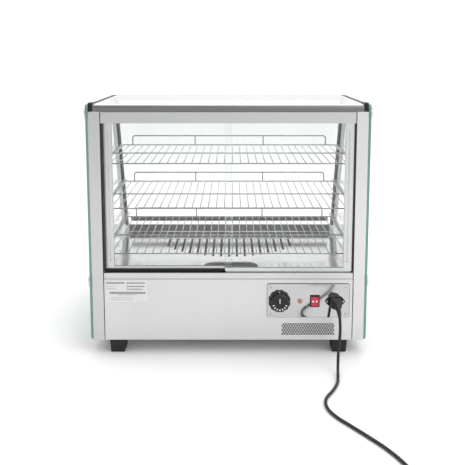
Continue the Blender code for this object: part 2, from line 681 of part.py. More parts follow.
def lead_connector():
    """The connector in the inlet, with its nose, body and tapered strain relief."""
    x, _, z = LEAD_EXIT
    back = LEAD_EXIT[1]
    front = at_depth(PLATE_FRONT - 0.0028)
    low, high = (x - 0.0140, back - 0.002, z - 0.0105), (x + 0.0140, front, z + 0.0105)
    body = place("lead_connector", box_mesh("lead_connector", low, high), BLACK_PLASTIC)
    soften(body, 0.004, 3)
    nose = place("connector_nose", box_mesh("connector_nose", (x - 0.0116, front - 0.002, z - 0.0078),
                                            (x + 0.0116, at_depth(0.0125), z + 0.0078)), BLACK_PLASTIC)
    join(body, nose, "UNION")
    taper = [1.9 - 0.17 * step for step in range(len(LEAD_RELIEF))]
    relief = wire("connector_relief", LEAD_RELIEF, CORD_RADIUS, BLACK_PLASTIC, taper, 3)
    join(body, solid_from_curve("connector_tail", relief, BLACK_PLASTIC), "UNION")


def lead_cord():
    """The free stretch of the mains lead, down to the counter and along it."""
    wire("lead_cord", smooth_route(LEAD_ROUTE, 0.012), CORD_RADIUS, BLACK_PLASTIC)


def lead_coil():
    """The rest of the lead, wound into a round coil."""
    inner, outer, low, high = COIL_RADIUS - 0.012, COIL_RADIUS + 0.012, 0.0003, 0.0150
    ring = [(outer - 0.003, high), (outer, high - 0.003), (outer, low + 0.003), (outer - 0.003, low),
            (inner + 0.003, low), (inner, low + 0.003), (inner, high - 0.003), (inner + 0.003, high),
            (outer - 0.003, high)]
    turned("lead_coil", ring, BLACK_PLASTIC, (*COIL_CENTRE, 0.0), (0, 0, 1), 32)


def lead_plug():
    """The round earthed plug at the lead's end, lying beside the coil."""
    body = [(0.0, 0.0), (0.0165, 0.0), (0.0180, -0.0015), (0.0185, -0.014), (0.0150, -0.024),
            (0.0085, -0.030), (0.0070, -0.036), (0.0042, -0.062), (0.0, -0.062)]
    heading = Vector((-1.0, -0.06, 0.0)).normalized()
    sideways = Vector((-heading.y, heading.x, 0.0))
    tail = Vector((COIL_CENTRE[0] - 0.052, COIL_CENTRE[1] - 0.0505, 0.0188))
    face = tail + heading * 0.062
    plug = turned("lead_plug", body, BLACK_PLASTIC, face, heading, 28)
    pin = [(0.0, 0.019), (0.0019, 0.019), (0.0024, 0.0180), (0.0024, -0.003), (0.0, -0.003)]
    for offset in (-0.0095, 0.0095):
        prong = turned(f"plug_pin_{'a' if offset < 0 else 'b'}", pin, CHROME, face + sideways * offset, heading, 10)
        join(plug, prong, "UNION")


base_casing()
rear_panel()
floor_plate()
feet()
rear_posts()
door_tracks()
door_buffers()
top_frame()
side_glasses()
front_and_top_glass()
glass_seals()
door("left", -1, INNER_TRACK)
door("right", 1, OUTER_TRACK)
for shelf_name, shelf_height, shelf_far in SHELVES:
    shelf(shelf_name, shelf_height, shelf_far)
    guard(shelf_name, shelf_height, shelf_far)
shelf_supports()
water_pan()
heating_element()
control_plate()
thermostat()
pilot_lamp()
mains_switch()
power_inlet()
lead_connector()
lead_cord()
lead_coil()
lead_plug()
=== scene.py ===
"""Hot food display case: the visible pieces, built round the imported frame.

X runs to the operator's right and Z runs up. The operator stands at -Y, the customer at +Y. A depth is a
distance from the rear face of the base, growing towards the customer. All lengths are in metres.
"""
import math

import bmesh
import bpy
from bpy.props import FloatProperty, FloatVectorProperty, IntProperty, PointerProperty
from mathutils import Matrix, Vector


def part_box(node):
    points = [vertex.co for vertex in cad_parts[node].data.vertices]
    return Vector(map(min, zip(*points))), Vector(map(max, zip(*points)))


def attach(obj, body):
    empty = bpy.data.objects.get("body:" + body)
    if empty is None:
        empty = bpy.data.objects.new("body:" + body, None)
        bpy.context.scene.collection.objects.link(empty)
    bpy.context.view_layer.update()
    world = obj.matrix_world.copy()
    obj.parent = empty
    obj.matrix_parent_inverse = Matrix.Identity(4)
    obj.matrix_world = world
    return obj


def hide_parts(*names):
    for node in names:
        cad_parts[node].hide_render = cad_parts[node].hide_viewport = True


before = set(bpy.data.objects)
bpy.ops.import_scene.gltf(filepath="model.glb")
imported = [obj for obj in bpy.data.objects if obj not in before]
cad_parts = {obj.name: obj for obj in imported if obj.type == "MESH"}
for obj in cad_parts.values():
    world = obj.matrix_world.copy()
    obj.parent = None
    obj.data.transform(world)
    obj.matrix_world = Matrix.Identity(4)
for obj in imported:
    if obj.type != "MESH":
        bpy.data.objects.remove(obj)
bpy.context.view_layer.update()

bl_info = {
    "name": "Hot food display case",
    "version": (1, 0, 0),
    "blender": (4, 5, 0),
    "location": "View3D > Sidebar > Display case",
    "description": "Builds a heated counter-top showcase piece by piece round its packed frame",
    "category": "Object",
}


def corners_of(node):
    """Lowest and highest corner of a frame node."""
    low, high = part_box(node)
    return Vector(low), Vector(high)


REAR_Y = corners_of("rear_post_left")[0].y
DECK_TOP = 0.168
REAR_LIP, FRONT_LIP = 0.2072, 0.190   # heights of the deck's raised edges
LEAN = 0.398                      # how far the front leans back for each metre it rises
FRONT_DEPTH = corners_of("side_glass_left")[1].y - REAR_Y
FRONT_KNEE = 0.117
PANEL_FACE = corners_of("rear_panel")[0].y
PLATE_FACE = corners_of("control_plate")[0].y
KNOB_X, CONTROL_Z = 0.125, 0.136   # the knob, the lamp and the switch stand in one row
SHEET = 0.0015                    # thickness of the steel sheet
LAMP_X, SWITCH_X = 0.1754, 0.2115
INLET_CENTRE = (0.2610, 0.1355)


def at_depth(depth):
    """Y of a depth from the rear face of the base."""
    return REAR_Y + depth


def front_depth(height, inward=0.0):
    """Depth of the leaning front at a height, moved inward along its normal."""
    return FRONT_DEPTH - (height - FRONT_KNEE) * LEAN - inward * math.hypot(1.0, LEAN)


# What a user may change

def length(name, description, default):
    """A length that a user may change."""
    return FloatProperty(name=name, description=description, default=default, min=0.0, precision=5,
                         unit="LENGTH")


def colour(name, description, default):
    """A colour that a user may change."""
    return FloatVectorProperty(name=name, description=description, default=default, size=3, min=0.0,
                               max=1.0, subtype="COLOR")


def amount(name, description, default):
    """A plain number that a user may change."""
    return FloatProperty(name=name, description=description, default=default, min=0.0)


class CaseSizes(bpy.types.PropertyGroup):
    """Sizes of the pieces of the case."""
    rim_wire: length("Rim wire", "Radius of the wire round each shelf", 0.0016)
    cross_wire: length("Cross wire", "Radius of the wires across each shelf", 0.0012)
    cross_pitch: length("Cross wire pitch", "Distance between the wires across a shelf", 0.020)
    guard_wire: length("Guard wire", "Radius of the raised rail at a shelf's far edge", 0.00175)
    guard_height: length("Guard height", "Height of the raised rail over its shelf", 0.0275)
    pane_edge: length("Pane edge", "Rounding of the polished edges of the glass", 0.0006)
    fold: length("Sheet fold", "Outer radius of the folds in the steel sheet", 0.0012)
    vent: length("Vent hole", "Radius of the round vents in the rear panel", 0.0023)
    vent_pitch: length("Vent pitch", "Sideways distance between vents", 0.0060)
    vent_row: length("Vent row", "Distance between rows of vents", 0.0051)
    slot_width: length("Deck slot", "Width of the slots in the deck", 0.0060)
    slot_pitch: length("Deck slot pitch", "Distance between the slots in the deck", 0.0226)
    knob_lobes: IntProperty(name="Knob lobes", description="Number of grips round the knob's skirt",
                            default=12, min=3, max=40)


class CaseColours(bpy.types.PropertyGroup):
    """Colours of the case's finishes."""
    steel: colour("Brushed steel", "Sheet steel of the base and the posts", (0.635, 0.635, 0.632))
    mirror: colour("Polished steel", "Deck, control plate and pan", (0.50, 0.50, 0.50))
    aluminium: colour("Aluminium", "Door tracks and door frames", (0.60, 0.605, 0.605))
    dark_metal: colour("Dark rail", "Rear top rail and the trim at the deck's front lip",
                       (0.195, 0.195, 0.20))
    chrome: colour("Chrome", "Shelf wires, guards and glass caps", (0.29, 0.29, 0.295))
    pane: colour("Glass", "Body of the panes", (0.950, 0.962, 0.957))
    pane_edge: colour("Glass edge", "Polished edges of the panes", (0.10, 0.26, 0.20))
    rubber: colour("Rubber", "Feet, seals and buffers", (0.018, 0.018, 0.019))
    plastic: colour("Black plastic", "Knob, switch, inlet and connector", (0.010, 0.010, 0.011))
    jacket: colour("Lead jacket", "Sleeve of the mains lead", (0.020, 0.020, 0.021))
    rocker: colour("Rocker", "Red rocker of the switch", (0.44, 0.005, 0.022))
    lamp: colour("Pilot lamp", "Amber lens of the lamp", (0.42, 0.13, 0.06))
    # White for the knob's marks; on the rocker it paints highlights
    print_and_highlight_white: colour("White print", "Marks on the knob and on the rocker", (0.85, 0.85, 0.83))
    label: colour("Label", "Film of the blank rating label", (0.67, 0.67, 0.67))
    label_bars: colour("Label bars", "Plain blocks printed on the label", (0.05, 0.05, 0.052))


class LeadSizes(bpy.types.PropertyGroup):
    """Sizes of the mains lead."""
    length: length("Length", "Length of the lead from the connector to the plug", 1.800)
    diameter: length("Diameter", "Diameter of the lead", 0.0070)
    coil_outer: length("Coil radius", "Radius of the outermost turn of the coil", 0.0490)
    coil_turns: amount("Coil turns", "Turns in the coil's two layers together", 4.25)
    lower_turns: amount("Lower turns", "Turns that lie on the counter", 2.25)


class StageSettings(bpy.types.PropertyGroup):
    """Camera and light."""
    lens: amount("Lens", "Focal length in millimetres", 52.9)
    distance: length("Distance", "Camera distance behind the rear face", 1.610)
    height: length("Height", "Camera height over the counter", 0.744)
    offset: length("Offset", "Camera distance to the right of the middle", 0.010)
    pitch: FloatProperty(name="Pitch", description="How far the camera looks down",
                         default=math.radians(7.41), subtype="ANGLE")
    shift: FloatProperty(name="Shift", description="Vertical shift of the lens", default=-0.20)
    sky: amount("Sky", "Strength of the studio's even light", 1.15)
    key: amount("Key light", "Power of the large lamp over the right shoulder, in watts", 24.0)
    top: amount("Top light", "Power of the large lamp overhead, in watts", 26.0)


# Meshes

def mesh_from(shape):
    """Write a bmesh to a new mesh, with its normals outward."""
    bmesh.ops.recalc_face_normals(shape, faces=shape.faces)
    made = bpy.data.meshes.new("shape")
    shape.to_mesh(made)
    shape.free()
    return made


def filleted(points, radius, steps=4, closed=True):
    """A line whose corners are turned into arcs."""
    points = [Vector(point) for point in points]
    line = []
    for index, corner in enumerate(points):
        if not closed and index in (0, len(points) - 1):
            line.append(corner)
            continue
        back = (points[index - 1] - corner).normalized()
        ahead = (points[(index + 1) % len(points)] - corner).normalized()
        half = back.angle(ahead) / 2
        centre = corner + (back + ahead).normalized() * (radius / math.sin(half))
        start = corner + back * (radius / math.tan(half)) - centre
        end = corner + ahead * (radius / math.tan(half)) - centre
        for step in range(steps + 1):
            line.append(centre + start.slerp(end, step / steps).normalized() * radius)
    return line


def rectangle(centre, size):
    """Corners of a rectangle, counter-clockwise."""
    half_x, half_y = size[0] / 2, size[1] / 2
    signs = ((-1, -1), (1, -1), (1, 1), (-1, 1))
    return [(centre[0] + half_x * sx, centre[1] + half_y * sy) for sx, sy in signs]


def circle(centre, radius, sides):
    """Corners of a regular polygon."""
    turns = (2 * math.pi * step / sides for step in range(sides))
    return [(centre[0] + radius * math.cos(turn), centre[1] + radius * math.sin(turn)) for turn in turns]


SPREAD = {
    "x": lambda pair, along: (along, pair[0], pair[1]),
    "y": lambda pair, along: (pair[0], along, pair[1]),
    "z": lambda pair, along: (pair[0], pair[1], along),
}


def extruded(outline, low, high, facing):
    """A closed outline, extruded from low to high along an axis."""
    shape = bmesh.new()
    near = [shape.verts.new(SPREAD[facing](pair, low)) for pair in outline]
    far = [shape.verts.new(SPREAD[facing](pair, high)) for pair in outline]
    shape.faces.new(near)
    shape.faces.new(reversed(far))
    for index in range(len(near)):
        after = (index + 1) % len(near)
        shape.faces.new((near[index], far[index], far[after], near[after]))
    return mesh_from(shape)


FACING = {"x": (math.pi / 2, 0.0, math.pi / 2), "y": (math.pi / 2, 0.0, 0.0), "z": (0.0, 0.0, 0.0)}


def from_curve(curve, turn=(0.0, 0.0, 0.0), shift=(0.0, 0.0, 0.0)):
    """The mesh of a curve, turned and moved, with its doubled corners welded."""
    drawn = bpy.data.objects.new("line", curve)
    bpy.context.scene.collection.objects.link(drawn)
    drawn.rotation_euler = turn
    drawn.location = shift
    bpy.context.view_layer.update()
    found = drawn.evaluated_get(bpy.context.evaluated_depsgraph_get())
    made = bpy.data.meshes.new_from_object(found)
    made.transform(drawn.matrix_world)
    bpy.data.objects.remove(drawn, do_unlink=True)
    bpy.data.curves.remove(curve)
    shape = bmesh.new()
    shape.from_mesh(made)
    bmesh.ops.remove_doubles(shape, verts=shape.verts, dist=0.00001)
    bmesh.ops.recalc_face_normals(shape, faces=shape.faces)
    shape.to_mesh(made)
    shape.free()
    return made


def perforated(outline, holes, low, high, facing, rim=0.0):
    """A flat outline with holes, extruded from low to high along an axis, with its edges rounded by rim."""
    curve = bpy.data.curves.new("line", "CURVE")
    curve.dimensions = "2D"
    curve.fill_mode = "BOTH"
    curve.extrude = (high - low) / 2 - rim
    curve.bevel_depth = rim
    curve.bevel_resolution = 1
    curve.offset = -rim
    for ring in (outline, *holes):
        spline = curve.splines.new("POLY")
        spline.points.add(len(ring) - 1)
        for point, corner in zip(spline.points, ring):
            point.co = (corner[0], corner[1], 0.0, 1.0)
        spline.use_cyclic_u = True
    middle = (low + high) / 2
    shift = {"x": (middle, 0, 0), "y": (0, middle, 0), "z": (0, 0, middle)}[facing]
    return from_curve(curve, FACING[facing], shift)


def tubes(lines, radius, closed=False, resolution=2):
    """Round bars along several lines, in one mesh."""
    curve = bpy.data.curves.new("line", "CURVE")
    curve.dimensions = "3D"
    curve.bevel_depth = radius
    curve.bevel_resolution = resolution
    curve.use_fill_caps = not closed
    for line in lines:
        spline = curve.splines.new("POLY")
        spline.points.add(len(line) - 1)
        for point, spot in zip(spline.points, line):
            point.co = (*spot, 1.0)
        spline.use_cyclic_u = closed
    made = from_curve(curve)
    made.shade_smooth()
    made.set_sharp_from_angle(angle=math.radians(60))
    return made


def rings_mesh(rings):
    """A skin over rings of equal count, closed at both ends."""
    shape = bmesh.new()
    rows = [[shape.verts.new(spot) for spot in ring] for ring in rings]
    count = len(rows[0])
    for row, after in zip(rows, rows[1:]):
        for index in range(count):
            other = (index + 1) % count
            shape.faces.new((row[index], row[other], after[other], after[index]))
    shape.faces.new(reversed(rows[0]))
    shape.faces.new(rows[-1])
    return mesh_from(shape)


def lathe(profile, steps=40, lobes=0, lobe_depth=0.0, lobed=()):
    """A turned mesh about Z. Rings whose index is in lobed get a wavy outline."""
    rings = []
    for index, (radius, height) in enumerate(profile):
        ring = []
        for step in range(steps):
            turn = 2 * math.pi * step / steps
            wave = lobe_depth * (0.5 + 0.5 * math.cos(lobes * turn)) if index in lobed else 0.0
            ring.append(((radius - wave) * math.cos(turn), (radius - wave) * math.sin(turn), height))
        rings.append(ring)
    return rings_mesh(rings)


def stand(made, origin, axis, roll=0.0):
    """Turn a mesh's Z towards an axis and move it to its place."""
    turn = Vector(axis).to_track_quat("Z", "Y").to_matrix().to_4x4()
    made.transform(Matrix.Translation(origin) @ turn @ Matrix.Rotation(roll, 4, "Z"))
    return made


def together(meshes):
    """Several meshes in one. An entry is a mesh, or a mesh and the number of its finish."""
    shape = bmesh.new()
    for entry in meshes:
        part, number = entry if isinstance(entry, tuple) else (entry, 0)
        before = len(shape.faces)
        shape.from_mesh(part)
        shape.faces.ensure_lookup_table()
        for face in shape.faces[before:]:
            face.material_index = number
        bpy.data.meshes.remove(part)
    made = bpy.data.meshes.new("shape")
    shape.to_mesh(made)
    shape.free()
    return made


def piece(name, made, finish, body="case", replaces=(), rounding=0.0, smooth=True):
    """Put a mesh in the scene as a piece that rides on a body, with one material for each finish, in order.
    """
    finish = (finish,) if isinstance(finish, str) else finish
    made.name = name
    for each in finish:
        made.materials.append(look(each))
    shown = bpy.data.objects.new(name, made)
    bpy.context.scene.collection.objects.link(shown)
    if smooth:
        made.shade_smooth()
        made.set_sharp_from_angle(angle=math.radians(38))
    if rounding:
        round_edges(shown, rounding)
    elif smooth:
        even = shown.modifiers.new("even_flats", "WEIGHTED_NORMAL")
        even.keep_sharp = True
    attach(shown, body)
    if replaces:
        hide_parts(*replaces)
    return shown


def round_edges(shown, width):
    """Round an object's edges and keep its flats flat."""
    bevel = shown.modifiers.new("rounded_edges", "BEVEL")
    bevel.width = width
    bevel.segments = 2
    bevel.limit_method = "ANGLE"
    bevel.angle_limit = math.radians(35)
    bevel.harden_normals = True
    even = shown.modifiers.new("even_flats", "WEIGHTED_NORMAL")
    even.keep_sharp = True


def dress(name, finish, rounding):
    """Give a frame node that stays in view its finish and rounded edges."""
    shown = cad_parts[name]
    shown.data.materials.clear()
    shown.data.materials.append(look(finish))
    round_edges(shown, rounding)


# Finishes

def group(name, inputs, outputs):
    """A shader node group with named sockets, built once. Returns it, and its two ends while it is new."""
    found = bpy.data.node_groups.get(name)
    if found:
        return found, None, None
    tree = bpy.data.node_groups.new(name, "ShaderNodeTree")
    for socket, kind, value in inputs:
        made = tree.interface.new_socket(name=socket, in_out="INPUT", socket_type=kind)
        made.default_value = value
    for socket, kind in outputs:
        tree.interface.new_socket(name=socket, in_out="OUTPUT", socket_type=kind)
    return tree, tree.nodes.new("NodeGroupInput"), tree.nodes.new("NodeGroupOutput")


def node(tree, kind, settings=None, **links):
    """Add a node, set its properties, and feed its inputs from values or sockets."""
    made = tree.nodes.new(kind)
    for key, value in (settings or {}).items():
        setattr(made, key, value)
    for key, value in links.items():
        socket = made.inputs[int(key[1:])] if key[0] == "i" and key[1:].isdigit() else made.inputs[key]
        if isinstance(value, bpy.types.NodeSocket):
            tree.links.new(value, socket)
        else:
            socket.default_value = value
    return made


def object_space(tree):
    """Places on an object, in metres from its own origin."""
    return tree.nodes.new("ShaderNodeTexCoord").outputs["Object"]


def noise(tree, vector, scale, detail=2.0, roughness=0.5):
    """A noise texture's value."""
    return node(tree, "ShaderNodeTexNoise", Vector=vector, Scale=scale, Detail=detail,
                Roughness=roughness).outputs["Fac"]


def remap(tree, value, low, high, to_low=0.0, to_high=1.0, kind="SMOOTHSTEP"):
    """Stretch a value from one range to another."""
    made = node(tree, "ShaderNodeMapRange", {"interpolation_type": kind}, i0=value, i1=low, i2=high,
                i3=to_low, i4=to_high)
    return made.outputs[0]


def between(tree, value, low, high, reach=1.0):
    """A value from zero to reach, spread evenly from low to high."""
    return remap(tree, value, 0.0, reach, low, high, "LINEAR")


def brushed_lines():
    """Fine lines left by brushing or by drawing a profile. Stretch is the lines per metre on each axis."""
    tree, into, out = group("brushed_lines", [("Stretch", "NodeSocketVector", (12.0, 900.0, 900.0))],
                      [("Lines", "NodeSocketFloat"), ("Height", "NodeSocketFloat")])
    if out:
        spot = object_space(tree)
        spread = node(tree, "ShaderNodeVectorMath", {"operation": "MULTIPLY"}, i0=spot,
                      i1=into.outputs["Stretch"]).outputs[0]
        fine = noise(tree, spread, 1.0, 3.0, 0.65)
        tree.links.new(remap(tree, fine, 0.30, 0.70), out.inputs["Lines"])
        tree.links.new(fine, out.inputs["Height"])
    return tree


def handled_surface():
    """Faint marks of wiping and handling."""
    tree, into, out = group("handled_surface", [("Size", "NodeSocketFloat", 9.0)],
                      [("Smudge", "NodeSocketFloat"), ("Drift", "NodeSocketFloat")])
    if out:
        spot = object_space(tree)
        broad = noise(tree, spot, into.outputs["Size"], 4.0, 0.6)
        tree.links.new(remap(tree, broad, 0.42, 0.72), out.inputs["Smudge"])
        tree.links.new(noise(tree, spot, 2.3, 1.0), out.inputs["Drift"])
    return tree


def moulded_grain():
    """The fine spark-eroded grain of moulded plastic and rubber."""
    tree, into, out = group("moulded_grain", [("Size", "NodeSocketFloat", 1400.0)],
                      [("Grain", "NodeSocketFloat")])
    if out:
        spot = object_space(tree)
        tree.links.new(noise(tree, spot, into.outputs["Size"], 2.0, 0.6), out.inputs["Grain"])
    return tree


def painted_edge_highlight():
    """A mask of the edges, which a painted highlight makes lighter."""
    tree, into, out = group("painted_edge_highlight", [("Reach", "NodeSocketFloat", 0.0012)],
                      [("Edge", "NodeSocketFloat")])
    if out:
        bent = node(tree, "ShaderNodeBevel", {"samples": 4}, Radius=into.outputs["Reach"]).outputs[0]
        flat = tree.nodes.new("ShaderNodeNewGeometry").outputs["Normal"]
        dot = node(tree, "ShaderNodeVectorMath", {"operation": "DOT_PRODUCT"}, i0=bent, i1=flat)
        tree.links.new(remap(tree, dot.outputs["Value"], 0.995, 0.90), out.inputs["Edge"])
    return tree


def settled_dust():
    """A mask of the thin dust that settles on faces turned upward."""
    tree, into, out = group("settled_dust", [("Amount", "NodeSocketFloat", 0.3)],
                      [("Dust", "NodeSocketFloat")])
    if out:
        spot = object_space(tree)
        normal = tree.nodes.new("ShaderNodeNewGeometry").outputs["Normal"]
        up = node(tree, "ShaderNodeSeparateXYZ", Vector=normal).outputs["Z"]
        facing = remap(tree, up, 0.5, 0.95)
        patch = remap(tree, noise(tree, spot, 60.0, 4.0, 0.7), 0.40, 0.75)
        first = node(tree, "ShaderNodeMath", {"operation": "MULTIPLY"}, i0=facing, i1=patch).outputs[0]
        last = node(tree, "ShaderNodeMath", {"operation": "MULTIPLY"}, i0=first,
                    i1=into.outputs["Amount"]).outputs[0]
        tree.links.new(last, out.inputs["Dust"])
    return tree


def use(tree, made, **values):
    """Place a node group in a material with its own values."""
    spot = tree.nodes.new("ShaderNodeGroup")
    spot.node_tree = made
    for key, value in values.items():
        spot.inputs[key].default_value = value
    return spot


def blend(tree, share, first, second):
    """Mix two colours by a share."""
    made = tree.nodes.new("ShaderNodeMix")
    made.data_type = "RGBA"
    for socket, value in ((made.inputs[0], share), (made.inputs[6], first), (made.inputs[7], second)):
        if isinstance(value, bpy.types.NodeSocket):
            tree.links.new(value, socket)
        else:
            socket.default_value = (*value, 1.0) if socket != made.inputs[0] else value
    return made.outputs[2]


def shade(tone, factor):
    """A colour made lighter or darker."""
    return tuple(min(1.0, part * factor) for part in tone)


def start(name, roughness, metallic=0.0, **plain):
    """A Principled material with its plain values. Returns the material, its tree and its shader."""
    made = bpy.data.materials.new(name)
    made.use_nodes = True
    shader = made.node_tree.nodes["Principled BSDF"]
    shader.inputs["Roughness"].default_value = roughness
    shader.inputs["Metallic"].default_value = metallic
    for key, value in plain.items():
        shader.inputs[key.replace("_", " ")].default_value = value
    return made, made.node_tree, shader


def bumped(tree, shader, height, strength, distance):
    """Feed a height to a shader's normal."""
    bump = node(tree, "ShaderNodeBump", Strength=strength, Distance=distance, Height=height)
    tree.links.new(bump.outputs[0], shader.inputs["Normal"])


def drawn_metal(name, tone, roughness, stretch, contrast=0.10, spread=0.06, dust=0.0, bump=0.10):
    """Metal with fine lines along one way, faint smudges and a little dust."""
    made, tree, shader = start(name, roughness, 1.0)
    lines = use(tree, brushed_lines(), Stretch=stretch)
    marks = use(tree, handled_surface(), Size=7.0)
    base = blend(tree, lines.outputs["Lines"], shade(tone, 1 - contrast), shade(tone, 1 + contrast))
    base = blend(tree, between(tree, marks.outputs["Smudge"], 0.0, 0.35), base, shade(tone, 0.93))
    if dust:
        film = use(tree, settled_dust(), Amount=dust)
        base = blend(tree, film.outputs["Dust"], base, (0.62, 0.60, 0.57))
    tree.links.new(base, shader.inputs["Base Color"])
    total = node(tree, "ShaderNodeMath", {"operation": "ADD"}, i0=lines.outputs["Lines"],
                 i1=marks.outputs["Smudge"]).outputs[0]
    tree.links.new(between(tree, total, roughness - spread, roughness + spread, 2.0),
                   shader.inputs["Roughness"])
    bumped(tree, shader, lines.outputs["Height"], bump, 0.0001)
    return made


def moulded(name, tone, roughness, size=1400.0, bump=0.12, edge_highlight=0.0, dust=0.25, coat=0.0):
    """Moulded plastic or rubber with a fine grain, a painted highlight on its edges, and dust."""
    made, tree, shader = start(name, roughness, 0.0, Coat_Weight=coat, Coat_Roughness=0.25,
                               Specular_IOR_Level=0.28)
    grain = use(tree, moulded_grain(), Size=size)
    marks = use(tree, handled_surface(), Size=30.0)
    base = blend(tree, grain.outputs["Grain"], shade(tone, 0.7), shade(tone, 1.35))
    if edge_highlight:
        edge = use(tree, painted_edge_highlight(), Reach=0.0008)
        share = node(tree, "ShaderNodeMath", {"operation": "MULTIPLY"}, i0=edge.outputs["Edge"],
                     i1=edge_highlight).outputs[0]
        # Edges lighter grey: painted highlight
        base = blend(tree, share, base, (0.16, 0.16, 0.16))
    film = use(tree, settled_dust(), Amount=dust)
    base = blend(tree, film.outputs["Dust"], base, (0.30, 0.29, 0.27))
    tree.links.new(base, shader.inputs["Base Color"])
    tree.links.new(between(tree, marks.outputs["Smudge"], roughness - 0.08, roughness + 0.08),
                   shader.inputs["Roughness"])
    bumped(tree, shader, grain.outputs["Grain"], bump, 0.0001)
    return made


def clear_pane(tone):
    """Clear glass that lets soft light through, with faint wiping marks."""
    made, tree, shader = start("clear_glass", 0.01, 0.0, Transmission_Weight=1.0, IOR=1.45)
    marks = use(tree, handled_surface(), Size=5.0)
    tree.links.new(blend(tree, marks.outputs["Drift"], shade(tone, 0.995), tone), shader.inputs["Base Color"])
    tree.links.new(between(tree, marks.outputs["Smudge"], 0.0, 0.03), shader.inputs["Roughness"])
    bright = node(tree, "ShaderNodeBsdfTransparent", Color=(0.955, 0.975, 0.965, 1.0)).outputs[0]
    light = tree.nodes.new("ShaderNodeLightPath")
    either = node(tree, "ShaderNodeMath", {"operation": "MAXIMUM"}, i0=light.outputs["Is Shadow Ray"],
                  i1=light.outputs["Is Diffuse Ray"]).outputs[0]
    mixed = node(tree, "ShaderNodeMixShader", Fac=either, i1=shader.outputs[0], i2=bright).outputs[0]
    tree.links.new(mixed, tree.nodes["Material Output"].inputs["Surface"])
    return made


def pane_edge(tone):
    """The green polished edge of a pane, darker and lighter in slow bands."""
    made, tree, shader = start("glass_edge", 0.12, 0.0, Coat_Weight=0.6, Coat_Roughness=0.05)
    marks = use(tree, handled_surface(), Size=11.0)
    base = blend(tree, marks.outputs["Drift"], shade(tone, 0.72), shade(tone, 1.30))
    tree.links.new(base, shader.inputs["Base Color"])
    lines = use(tree, brushed_lines(), Stretch=(40.0, 40.0, 40.0))
    tree.links.new(between(tree, lines.outputs["Lines"], 0.08, 0.22), shader.inputs["Roughness"])
    bumped(tree, shader, lines.outputs["Height"], 0.05, 0.0001)
    return made


def lens(name, tone, glow):
    """A tinted plastic lens with a faint glow from behind."""
    made, tree, shader = start(name, 0.16, 0.0, Coat_Weight=0.5, Coat_Roughness=0.06,
                               Emission_Strength=glow)
    marks = use(tree, handled_surface(), Size=160.0)
    base = blend(tree, marks.outputs["Drift"], shade(tone, 0.8), shade(tone, 1.15))
    tree.links.new(base, shader.inputs["Base Color"])
    tree.links.new(base, shader.inputs["Emission Color"])
    grain = use(tree, moulded_grain(), Size=900.0)
    bumped(tree, shader, grain.outputs["Grain"], 0.04, 0.0001)
    return made


def printed(name, tone, roughness=0.45):
    """Screen print or a printed film, slightly uneven."""
    made, tree, shader = start(name, roughness)
    grain = use(tree, moulded_grain(), Size=2500.0)
    base = blend(tree, grain.outputs["Grain"], shade(tone, 0.94), shade(tone, 1.06))
    tree.links.new(base, shader.inputs["Base Color"])
    bumped(tree, shader, grain.outputs["Grain"], 0.03, 0.0001)
    return made


FINISHES = {}


